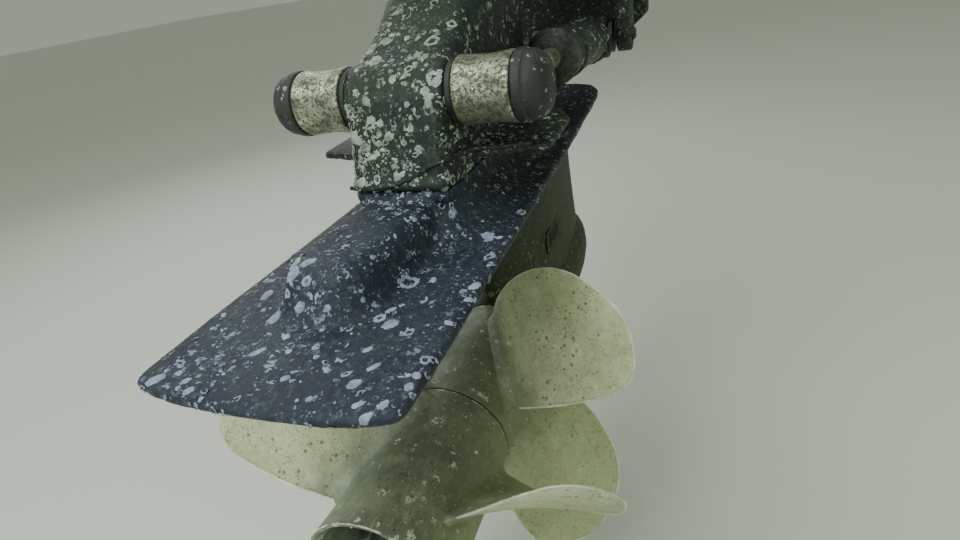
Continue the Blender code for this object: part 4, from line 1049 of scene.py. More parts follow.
@dataclass
class Bead:
    """A thin uneven strand along a line, such as a painted highlight along an edge or a crusted seam."""

    name: str
    lines: list[list[Vector]]
    radius: float
    closed: bool = False
    raggedness: float = 0.3
    around: int = 6

    def _ring(self, bm: bmesh.types.BMesh, at: Vector, ahead: Vector) -> list[bmesh.types.BMVert]:
        """One ring of the strand, square to its run and of a size that varies."""
        side = ahead.orthogonal().normalized()
        other = ahead.cross(side)
        size = self.radius * (1.0 + self.raggedness * noise.noise(at * 170.0) * 2.0)
        turns = [2.0 * math.pi * k / self.around for k in range(self.around)]
        return [bm.verts.new(at + (side * math.cos(turn) + other * math.sin(turn)) * size) for turn in turns]

    def _close_pair(self, bm: bmesh.types.BMesh, low: list, high: list) -> None:
        """Faces between two rings, matched so that the strand doesn't twist."""
        start = min(range(self.around), key=lambda k: (high[k].co - low[0].co).length)
        for k in range(self.around):
            j = (k + 1) % self.around
            bm.faces.new((low[k], low[j], high[(start + j) % self.around], high[(start + k) % self.around]))

    def build(self, material: bpy.types.Material, body: str, slot: Slot) -> bpy.types.Object:
        """Make every strand as one piece.

        Args:
            material: Their finish.
            body: The body they ride on.
            slot: The record's slot; not used.

        Returns:
            The piece.
        """
        bm = bmesh.new()
        for line in self.lines:
            rings = []
            for k, at in enumerate(line):
                after = line[(k + 1) % len(line)] if self.closed or k + 1 < len(line) else at
                before = line[k - 1] if self.closed or k else at
                rings.append(self._ring(bm, at, (after - before).normalized()))
            for low, high in zip(rings, rings[1:]):
                self._close_pair(bm, low, high)
            if self.closed:
                self._close_pair(bm, rings[-1], rings[0])
            else:
                bm.faces.new(rings[0])
                bm.faces.new(rings[-1])
        return dress(new_piece(self.name, bm), material, body)


def smooth_line(corners: list[Vector], steps: int = 8) -> list[Vector]:
    """A smooth line through corners, as a Catmull-Rom curve.

    Args:
        corners: The corners in order.
        steps: Points to a stretch.

    Returns:
        The line's points.
    """
    line = []
    for k in range(len(corners) - 1):
        p0, p1 = corners[max(k - 1, 0)], corners[k]
        p2, p3 = corners[k + 1], corners[min(k + 2, len(corners) - 1)]
        for step in range(steps):
            t = step / steps
            line.append(0.5 * (2 * p1 + (p2 - p0) * t + (2 * p0 - 5 * p1 + 4 * p2 - p3) * t ** 2
                               + (3 * p1 - 3 * p2 + p3 - p0) * t ** 3))
    return line + [corners[-1]]


def hoop(radius: float, y: float, count: int = 120) -> list[Vector]:
    """A ring of points round the shafts' line."""
    turns = [2.0 * math.pi * k / count for k in range(count)]
    return [Vector((radius * math.sin(turn), y, SHAFT_HEIGHT + radius * math.cos(turn))) for turn in turns]


@dataclass
class Casting:
    """A cast piece: the solid's own shape with soft edges and an uneven skin."""

    node: str
    body: str
    voxel: float
    smoothing: int = 4
    unevenness: float = 0.00035
    scars: ScarSpread | None = None

    def shape(self) -> bpy.types.Object:
        """Remesh a merged copy of the solid and soften it."""
        source = bpy.data.objects[self.node]
        bm = bmesh.new()
        bm.from_mesh(source.data)
        bmesh.ops.remove_doubles(bm, verts=bm.verts, dist=1e-5)
        piece = new_piece(self.node + "_casting", bm, outward=False)
        remesh = piece.modifiers.new("remesh", "REMESH")
        remesh.mode = "VOXEL"
        remesh.voxel_size = self.voxel
        soften = piece.modifiers.new("soften", "SMOOTH")
        soften.factor = 0.5
        soften.iterations = self.smoothing
        applied(piece)
        self._roughen(piece.data)
        return piece

    def _roughen(self, mesh: bpy.types.Mesh) -> None:
        """Move each point a little along its normal, as sand casting and old paint leave it."""
        normals = [v.normal.copy() for v in mesh.vertices]
        for vertex, normal in zip(mesh.vertices, normals):
            at = vertex.co
            rise = sum(size * noise.noise(at * pitch) for size, pitch in SKIN_WAVES)
            vertex.co = at + normal * (rise * self.unevenness)

    def build(self, material: bpy.types.Material, crust: bpy.types.Material, slot: Slot) -> bpy.types.Object:
        """Make the casting and its crusts.

        Args:
            material: The casting's finish.
            crust: The crusts' finish.
            slot: The record's slot of both.

        Returns:
            The casting.
        """
        piece = dress(self.shape(), material, self.body, self.node)
        if self.scars is not None:
            self.scars.strew(piece, self.node + "_crusts", crust, self.body, slot)
        return piece


@dataclass
class BladeForm:
    """The shape of one propeller's blades: a helicoid with a rounded outline."""

    hub_r: float
    tip_r: float
    root_y: float
    phase: float
    hand: int
    pitch: float = 0.626
    root_thick: float = 0.010
    tip_thick: float = 0.0030
    edge_thick: float = 0.0014
    fillet: float = 0.008
    rows: int = 34
    columns: int = 26
    first_angle: float = 9.0
    lead_lean: float = 22.5
    lead_sweep: float = 9.7
    trail_angle: float = 66.0
    trail_belly: float = 14.0
    trail_lean: float = -0.5
    trail_sweep: float = 2.3
    tip_angle: float = 53.0
    tip_half: float = 2.5

    def edges(self, share: float) -> tuple[float, float]:
        """Angles in degrees of the leading and the trailing edge.

        Args:
            share: Share of the blade's height, from the hub to the tip.

        Returns:
            The two angles, counted in the sense that the blade turns away from.
        """
        lead = self.first_angle + self.lead_lean * share + self.lead_sweep * share ** 3
        trail = (self.trail_angle + self.trail_belly * share * (1.0 - share) + self.trail_sweep * share ** 5
                 + self.trail_lean * share)
        close = share ** 16
        lead += (self.tip_angle - self.tip_half - lead) * close
        trail += (self.tip_angle + self.tip_half - trail) * close
        return lead, trail

    def flare(self, radius: float) -> float:
        """How much the root's fillet adds on each side at a radius."""
        rise = max(0.0, radius - self.hub_r)
        if rise >= self.fillet:
            return 0.0
        return self.fillet - math.sqrt(self.fillet ** 2 - (self.fillet - rise) ** 2)

    def turn(self, index: int, blades: int, angle: float) -> float:
        """The turn from straight up, in radians, of an angle on a blade."""
        return math.radians(self.phase + 360.0 * index / blades + self.hand * (angle - self.first_angle))

    def skin_point(self, index: int, blades: int, radius: float, angle: float) -> Vector:
        """A point of a blade's middle surface.

        Args:
            index: Which blade.
            blades: How many there are.
            radius: The point's radius.
            angle: The point's angle, in degrees.

        Returns:
            The point.
        """
        turn = self.turn(index, blades, angle)
        y = self.root_y - (angle - self.first_angle) * self.pitch / 360.0
        return Vector((math.sin(turn) * radius, y, SHAFT_HEIGHT + math.cos(turn) * radius))

    def outline(self, index: int, blades: int, steps: int = 60) -> list[Vector]:
        """The edge of a blade, out along the leading side and back along the trailing side.

        Args:
            index: Which blade.
            blades: How many there are.
            steps: Points on each side.

        Returns:
            The points in order.
        """
        out, back = [], []
        for k in range(4, steps + 1):
            share = math.sin(0.5 * math.pi * k / steps)
            lead, trail = self.edges(share)
            radius = self.hub_r + (self.tip_r - self.hub_r) * share
            out.append(self.skin_point(index, blades, radius, lead))
            back.append(self.skin_point(index, blades, radius, trail))
        return out + back[::-1]

    def piece(self, index: int, blades: int) -> bpy.types.Object:
        """One blade as a closed solid that reaches into the hub.

        Args:
            index: Which blade.
            blades: How many there are.

        Returns:
            The blade.
        """
        root_r = self.hub_r - 0.004
        bm = bmesh.new()
        rings = []
        for i in range(self.rows):
            share = math.sin(0.5 * math.pi * i / (self.rows - 1)) ** 0.85
            radius = root_r + (self.tip_r - root_r) * share
            lead, trail = self.edges(max(0.0, (radius - self.hub_r) / (self.tip_r - self.hub_r)))
            thick = self.root_thick + (self.tip_thick - self.root_thick) * share
            extra = self.flare(radius)
            widen = math.degrees(0.5 * extra / radius)
            rings.append(self._ring(bm, index, blades, radius, lead - widen, trail + widen, thick, extra))
        for low, high in zip(rings, rings[1:]):
            for k in range(len(low)):
                j = (k + 1) % len(low)
                bm.faces.new((low[k], low[j], high[j], high[k]))
        bm.faces.new(rings[0])
        bm.faces.new(rings[-1])
        return new_piece("blade", bm)

    def _ring(self, bm: bmesh.types.BMesh, index: int, blades: int, radius: float, lead: float, trail: float,
              thick: float, extra: float) -> list[bmesh.types.BMVert]:
        """The section of a blade at one radius, down one face and back up the other.

        Args:
            bm: The blade's mesh.
            index: Which blade.
            blades: How many there are.
            radius: The radius of the section.
            lead: Angle of the leading edge, in degrees.
            trail: Angle of the trailing edge, in degrees.
            thick: Greatest thickness.
            extra: What the root's fillet adds on each side.

        Returns:
            The section's points.
        """
        front, back = [], []
        for j in range(self.columns):
            s = 0.5 - 0.5 * math.cos(math.pi * j / (self.columns - 1))
            angle = lead + (trail - lead) * s
            turn = self.turn(index, blades, angle)
            out = Vector((math.sin(turn), 0.0, math.cos(turn)))
            around = Vector((math.cos(turn), 0.0, -math.sin(turn))) * self.hand
            run = (around * 2 * math.pi * radius + Vector((0, -1, 0)) * self.pitch).normalized()
            normal = out.cross(run).normalized() * self.hand
            bow = math.sqrt(max(0.0, 4 * s * (1 - s)))
            edge = self.edge_thick * min(1.0, 3.0 * bow)
            half = 0.5 * max(edge, thick * bow) + extra * bow ** 0.6
            y = self.root_y - (angle - self.first_angle) * self.pitch / 360.0
            point = Vector((0.0, y, SHAFT_HEIGHT)) + out * radius
            front.append(point + normal * half)
            back.append(point - normal * half)
        ring = front + list(reversed(back[1:-1]))
        return [bm.verts.new(point) for point in ring]


@dataclass
class Propeller:
    """One propeller: its hub, in one casting with its blades."""

    node: str
    body: str
    form: BladeForm
    blades: int
    start: float
    end: float
    shaft_r: float
    hub_r: float = 0.056
    edge_round: float = 0.0009
    # Radii of the painted highlight beads on the blades' edges and the hub's rims.
    highlight_edge_r: float = 0.0009
    highlight_rim_r: float = 0.0005

    def hub(self) -> bpy.types.Object:
        """The plain hub, bored for its shaft."""
        length = self.start - self.end
        profile = [(0.0, self.shaft_r), (0.0, self.hub_r), (length, self.hub_r), (length, self.shaft_r)]
        loop = rounded_loop(profile, self.edge_round)
        return turned_piece(self.node + "_hub", loop, Vector((0, self.start, SHAFT_HEIGHT)), Vector((0, -1, 0)),
                            96, hollow=True)

    def build(self, wardrobe: Wardrobe, seed: int) -> bpy.types.Object:
        """Make the propeller and the crusts on it.

        Args:
            wardrobe: The finishes.
            seed: Seed of the crusts' places.

        Returns:
            The propeller.
        """
        piece = self.hub()
        for index in range(self.blades):
            join_solids(piece, self.form.piece(index, self.blades))
        self.finish_hub(piece)
        piece.name = self.node + "_metal"
        dress(piece, wardrobe.bronze, self.body, self.node)
        scars = ScarSpread(density=420.0, smallest=0.0010, largest=0.0040, seed=seed, lift=0.0005)
        scars.strew(piece, self.node + "_crusts", wardrobe.blade_crust, self.body, Slot.BLADE)
        # Bright beads on the blades' outlines and the hub's rims: a painted highlight along the thin edges.
        outlines = [self.form.outline(index, self.blades) for index in range(self.blades)]
        beads = (Bead(self.node + "_worn_edges", outlines, self.highlight_edge_r),
                 Bead(self.node + "_worn_rims", self.rims(), self.highlight_rim_r, closed=True, raggedness=0.45))
        for bead in beads:
            bead.build(wardrobe.edge_highlight, self.body, Slot.BLADE)
        return piece

    def rims(self) -> list[list[Vector]]:
        """The edge of the hub that carries the painted highlight."""
        return [hoop(self.hub_r - 0.0004, self.start - 0.0006)]

    def finish_hub(self, piece: bpy.types.Object) -> None:
        """Nothing more on a plain hub."""


@dataclass
class RearPropeller(Propeller):
    """The rear propeller, whose hub is open for the exhaust."""

    wall: float = 0.005
    exit_r: float = 0.059
    tube_r: float = 0.023
    tube_start: float = -0.617
    tube_end: float = -0.7056
    vane_thick: float = 0.006
    vanes: int = 3

    def hub(self) -> bpy.types.Object:
        """The hub's shell, flared at its exit."""
        length = self.start - self.end
        outer = [(0.0, self.hub_r), (0.75 * length, self.hub_r + 0.0005), (0.9 * length, self.hub_r + 0.0015),
                 (length, self.exit_r)]
        inner = [(length, self.exit_r - 0.6 * self.wall), (0.95 * length, self.hub_r - self.wall),
                 (0.0, self.hub_r - self.wall)]
        loop = rounded_loop(outer + inner, self.edge_round)
        return turned_piece(self.node + "_hub", loop, Vector((0, self.start, SHAFT_HEIGHT)), Vector((0, -1, 0)),
                            96, hollow=True)

    def rims(self) -> list[list[Vector]]:
        """Both ends of the shell, which carry the painted highlight."""
        return [hoop(self.hub_r - 0.0005, self.start - 0.0006), hoop(self.exit_r - 0.0005, self.end + 0.0005)]

    def finish_hub(self, piece: bpy.types.Object) -> None:
        """Trim the blades' roots inside the shell and add the bored tube on its vanes.

        Args:
            piece: The hub's shell with its blades.
        """
        length = self.start - self.end
        centre = Vector((0, self.start, SHAFT_HEIGHT))
        core = turned_piece("core", [(-0.01, self.hub_r - self.wall), (0.95 * length, self.hub_r - self.wall),
                                     (length + 0.01, self.hub_r - self.wall + 0.0015)], centre, Vector((0, -1, 0)), 96)
        join_solids(piece, core, "DIFFERENCE")
        tube = [(self.tube_start, self.shaft_r), (self.tube_start, self.tube_r), (self.tube_end, self.tube_r),
                (self.tube_end, self.shaft_r)]
        loop = rounded_loop(tube, self.edge_round)
        sleeve = turned_piece("sleeve", loop, Vector((0, 0, SHAFT_HEIGHT)), Vector((0, 1, 0)), 64, hollow=True)
        join_solids(piece, sleeve)
        for k in range(self.vanes):
            join_solids(piece, self._vane(math.radians(360.0 * k / self.vanes)))

    def _vane(self, turn: float) -> bpy.types.Object:
        """One vane between the tube and the shell.

        Args:
            turn: Angle from straight up, in radians.

        Returns:
            The vane.
        """
        out = Vector((math.sin(turn), 0.0, math.cos(turn)))
        side = Vector((math.cos(turn), 0.0, -math.sin(turn)))
        bm = bmesh.new()
        rings = []
        for y in (self.tube_start - 0.004, self.tube_end + 0.004):
            ring = []
            for radius, sign in ((self.tube_r - 0.003, -1), (self.hub_r - 0.002, -1), (self.hub_r - 0.002, 1),
                                 (self.tube_r - 0.003, 1)):
                ring.append(bm.verts.new(Vector((0, y, SHAFT_HEIGHT)) + out * radius
                                         + side * (0.5 * sign * self.vane_thick)))
            rings.append(ring)
        for k in range(4):
            j = (k + 1) % 4
            bm.faces.new((rings[0][k], rings[0][j], rings[1][j], rings[1][k]))
        bm.faces.new(rings[0])
        bm.faces.new(rings[1])
        return new_piece("vane", bm)


@dataclass
class Ram:
    """One trim ram: the rod with its eye, the gland and the barrel."""

    side: Side
    eye_r: float = 0.026
    eye_inner: float = 0.048
    eye_outer: float = 0.092
    pin_r: float = 0.0128
    rod_r: float = 0.0105
    neck_r: float = 0.016
    rod_end: float = 0.374
    barrel_r: float = 0.0260
    barrel_bore: float = 0.0165
    barrel_end_r: float = 0.0205
    mouth: float = 0.185
    gland_r: float = 0.0285
    gland_length: float = 0.020
    band_at: float = 0.235
    band_length: float = 0.007
    base_r: float = 0.0275
    base_half: float = 0.020
    base_bore: float = 0.0180
    bore_end: float = 0.396
    ram_pin: Vector = field(default_factory=lambda: Vector((0.0, -0.120, -0.132)))

    def __post_init__(self) -> None:
        """Work out the ram's line from its two pins."""
        middle = self.side.value * 0.5 * (self.eye_inner + self.eye_outer)
        self.eye = Vector((middle, CROSS_PIN.y, CROSS_PIN.z))
        self.base = Vector((middle, self.ram_pin.y, self.ram_pin.z))
        self.along = (self.base - self.eye).normalized()
        self.length = (self.base - self.eye).length

    def rod(self) -> bpy.types.Object:
        """The rod, its flared neck and the waisted eye round the cross pin."""
        half = 0.5 * (self.eye_outer - self.eye_inner)
        outline = [(-half, self.pin_r), (-half, self.eye_r - 0.0004), (-half * 0.86, self.eye_r),
                   (-half * 0.45, self.eye_r - 0.0011), (0.0, self.eye_r - 0.0015), (half * 0.45, self.eye_r - 0.0011),
                   (half * 0.86, self.eye_r), (half, self.eye_r - 0.0004), (half, self.pin_r)]
        loop = rounded_loop(outline, 0.0014)
        eye = turned_piece(self.side.word + "_rod_metal", loop, self.eye, Vector((1, 0, 0)), 72, hollow=True)
        neck = [(self.eye_r - 0.006, self.neck_r + 0.004), (self.eye_r, self.neck_r + 0.001),
                (self.eye_r + 0.004, self.neck_r), (self.eye_r + 0.008, self.rod_r), (self.rod_end, self.rod_r)]
        return join_solids(eye, turned_piece("neck", neck, self.eye, self.along, 48))

    def gland(self) -> bpy.types.Object:
        """The gland in the barrel's mouth, with its wiper groove."""
        stub = 0.5 * self.gland_length
        bore = self.rod_r + 0.0003
        steps = [(0.0, bore), (0.0, self.gland_r - 0.0055), (0.0022, self.gland_r - 0.0035),
                 (0.0040, self.gland_r), (stub - 0.0003, self.gland_r), (stub - 0.0003, self.barrel_bore - 0.0004),
                 (self.gland_length, self.barrel_bore - 0.0004), (self.gland_length, bore)]
        loop = rounded_loop([(self.mouth + along, radius) for along, radius in steps], 0.0008)
        return turned_piece(self.side.word + "_gland_ring", loop, self.eye, self.along, 64, hollow=True)

    def barrel(self) -> bpy.types.Object:
        """The barrel with its raised band and its base eye."""
        start = self.mouth + 0.5 * self.gland_length
        end = self.length - self.base_r
        outline = [(start, self.barrel_r - 0.0016), (start + 0.0016, self.barrel_r),
                   (self.band_at - 0.002, self.barrel_r), (self.band_at, self.gland_r - 0.0003),
                   (self.band_at + self.band_length, self.gland_r - 0.0003),
                   (self.band_at + self.band_length + 0.002, self.barrel_r), (end - 0.016, self.barrel_r),
                   (end - 0.003, self.barrel_end_r), (end + 0.010, self.barrel_end_r)]
        barrel = turned_piece(self.side.word + "_barrel_casting", rounded(outline, 0.0018), self.eye, self.along, 64)
        half = self.base_half
        rim = [(-half, self.base_r - 0.0015), (-half + 0.0015, self.base_r), (half - 0.0015, self.base_r),
               (half, self.base_r - 0.0015)]
        join_solids(barrel, turned_piece("base_eye", rim, self.base, Vector((1, 0, 0)), 64))
        bore = [(start - 0.01, self.barrel_bore), (self.bore_end, self.barrel_bore)]
        join_solids(barrel, turned_piece("bore", bore, self.eye, self.along, 64), "DIFFERENCE")
        hole = [(-half - 0.01, self.base_bore), (half + 0.01, self.base_bore)]
        return join_solids(barrel, turned_piece("hole", hole, self.base, Vector((1, 0, 0)), 48), "DIFFERENCE")

    def build(self, wardrobe: Wardrobe) -> None:
        """Make the ram's three pieces."""
        word = self.side.word
        dress(self.rod(), wardrobe.silver, word + "_rod", word + "_rod")
        dress(self.gland(), wardrobe.steel, word + "_cylinder", word + "_gland")
        barrel = dress(self.barrel(), wardrobe.leg, word + "_cylinder", word + "_barrel")
        scars = ScarSpread(density=5200.0, smallest=0.0014, largest=0.0052, seed=21 + self.side.value)
        scars.strew(barrel, word + "_barrel_crusts", wardrobe.leg_crust, word + "_cylinder", Slot.LEG)


@dataclass
class PinEnd:
    """The washer and the domed cap on one end of the cross pin."""

    side: Side
    face: float = 0.0926
    cap_r: float = 0.0265
    cap_length: float = 0.024
    boss_face: float = 0.0423
    eye_inner: float = 0.0474
    washer_r: float = 0.0245
    pin_r: float = 0.0128

    def build(self, wardrobe: Wardrobe) -> None:
        """Make the cap and the washer.

        Args:
            wardrobe: The finishes.
        """
        axis = Vector((self.side.value, 0, 0))
        outline = [(0.0, self.pin_r), (0.0, self.cap_r - 0.0012), (0.0012, self.cap_r),
                   (0.30 * self.cap_length, self.cap_r), (0.36 * self.cap_length, self.cap_r - 0.0012),
                   (0.62 * self.cap_length, 0.935 * self.cap_r), (0.84 * self.cap_length, 0.80 * self.cap_r),
                   (0.96 * self.cap_length, 0.62 * self.cap_r), (self.cap_length, 0.40 * self.cap_r)]
        outline = [*rounded(outline, 0.003, 3), (self.cap_length, 0.0004)]
        start = CROSS_PIN + axis * self.face
        cap = turned_piece(self.side.word + "_cap_dome", outline, start, axis, 64)
        seat = [(-0.01, self.pin_r), (0.5 * self.cap_length, self.pin_r), (0.6 * self.cap_length, 0.0004)]
        join_solids(cap, turned_piece("seat", seat, start, axis, 48), "DIFFERENCE")
        dress(cap, wardrobe.cap, "leg", self.side.word + "_pin_cap")
        scars = ScarSpread(density=9000.0, smallest=0.0008, largest=0.0026, seed=61 + self.side.value, lift=0.0003)
        scars.strew(cap, self.side.word + "_cap_crusts", wardrobe.leg_crust, "leg", Slot.RUBBER)
        thick = self.eye_inner - self.boss_face
        ring = [(0.0, self.pin_r), (0.0, self.washer_r), (thick, self.washer_r), (thick, self.pin_r)]
        loop = rounded_loop(ring, 0.0015)
        washer = turned_piece(self.side.word + "_washer_ring", loop, CROSS_PIN + axis * self.boss_face, axis, 64,
                              hollow=True)
        dress(washer, wardrobe.rubber, "leg", self.side.word + "_pin_washer")


@dataclass
class Boot:
    """Folded rubber boot round the drive shaft."""

    crest: float = 0.045
    valley: float = 0.035
    folds: int = 4
    steps: int = 10

    def build(self, wardrobe: Wardrobe) -> bpy.types.Object:
        """Make the boot between the fork's web and the bell.

        Args:
            wardrobe: The finishes.

        Returns:
            The boot.
        """
        low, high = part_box("driveshaft_boot")
        length = high.y - low.y
        total = self.folds * self.steps
        profile = []
        for k in range(total + 1):
            wave = 0.5 - 0.5 * math.cos(2.0 * math.pi * self.folds * k / total)
            profile.append((length * k / total, self.valley + (self.crest - self.valley) * wave ** 1.4))
        centre = Vector((0, high.y, TILT_PIVOT.z))
        boot = turned_piece("boot_folds", profile, centre, Vector((0, -1, 0)), 72)
        boot.data.shade_smooth()
        boot.data.materials.append(wardrobe.rubber)
        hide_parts("driveshaft_boot")
        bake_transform(boot)
        log.info("boot_folds bends from steering_fork to leg")
        return boot


@dataclass
class BoltSet:
    """Hexagon-headed bolts with washers, set on points by Geometry Nodes."""

    name: str
    body: str
    places: list[Vector]
    facing: Vector
    across: float = 0.0075
    height: float = 0.006

    def _tree(self) -> bpy.types.NodeTree:
        """The tree that sets a bolt on each point."""
        tree = start_group(
            "set_bolts", "GeometryNodeTree",
            [GroupPlug("Geometry", "Geometry"), GroupPlug("Head Radius", "Float", 0.0075),
             GroupPlug("Head Height", "Float", 0.006), GroupPlug("Facing", "Vector", (0.0, 0.0, 1.0)),
             GroupPlug("Material", "Material")],
            [GroupPlug("Geometry", "Geometry")])
        graph = Graph(tree)
        given = graph.put("NodeGroupInput").outputs
        radius, height = given["Head Radius"], given["Head Height"]
        washer = graph.put("GeometryNodeMeshCylinder", {"Vertices": 24, "Radius": graph.times(radius, 1.3),
                                                        "Depth": graph.times(height, 0.5)}).outputs["Mesh"]
        head = graph.put("GeometryNodeMeshCylinder", {"Vertices": 6, "Radius": radius,
                                                      "Depth": height}).outputs["Mesh"]
        rise = graph.put("ShaderNodeCombineXYZ", {2: graph.times(height, 0.7)}).outputs[0]
        head = graph.put("GeometryNodeTransform", {"Geometry": head, "Translation": rise}).outputs[0]
        top = graph.put("GeometryNodeMeshCone", {"Vertices": 24, "Radius Top": graph.times(radius, 0.62),
                                                 "Radius Bottom": graph.times(radius, 0.85),
                                                 "Depth": graph.times(height, 0.15)}).outputs["Mesh"]
        lift = graph.put("ShaderNodeCombineXYZ", {2: graph.times(height, 1.19)}).outputs[0]
        top = graph.put("GeometryNodeTransform", {"Geometry": top, "Translation": lift}).outputs[0]
        join = graph.put("GeometryNodeJoinGeometry")
        for part in (washer, head, top):
            graph.tree.links.new(part, join.inputs[0])
        align = graph.put("FunctionNodeAlignRotationToVector", {"Vector": given["Facing"]}, axis="Z").outputs[0]
        points = graph.put("GeometryNodeMeshToPoints", {0: given["Geometry"]}).outputs[0]
        placed = graph.put("GeometryNodeInstanceOnPoints", {"Points": points, "Instance": join.outputs[0],
                                                            "Rotation": align}).outputs[0]
        real = graph.put("GeometryNodeRealizeInstances", {0: placed}).outputs[0]
        real = graph.put("GeometryNodeSetMaterial", {0: real, "Material": given["Material"]}).outputs[0]
        graph.put("NodeGroupOutput", {0: real})
        return tree

    def build(self, material: bpy.types.Material) -> bpy.types.Object:
        """Make the bolts as one piece with a finish."""
        bm = bmesh.new()
        for place in self.places:
            bm.verts.new(place)
        carrier = new_piece(self.name, bm, outward=False)
        run_tree(carrier, self._tree(), {"Head Radius": self.across, "Head Height": self.height,
                                         "Facing": self.facing[:], "Material": material})
        return dress(carrier, material, self.body)


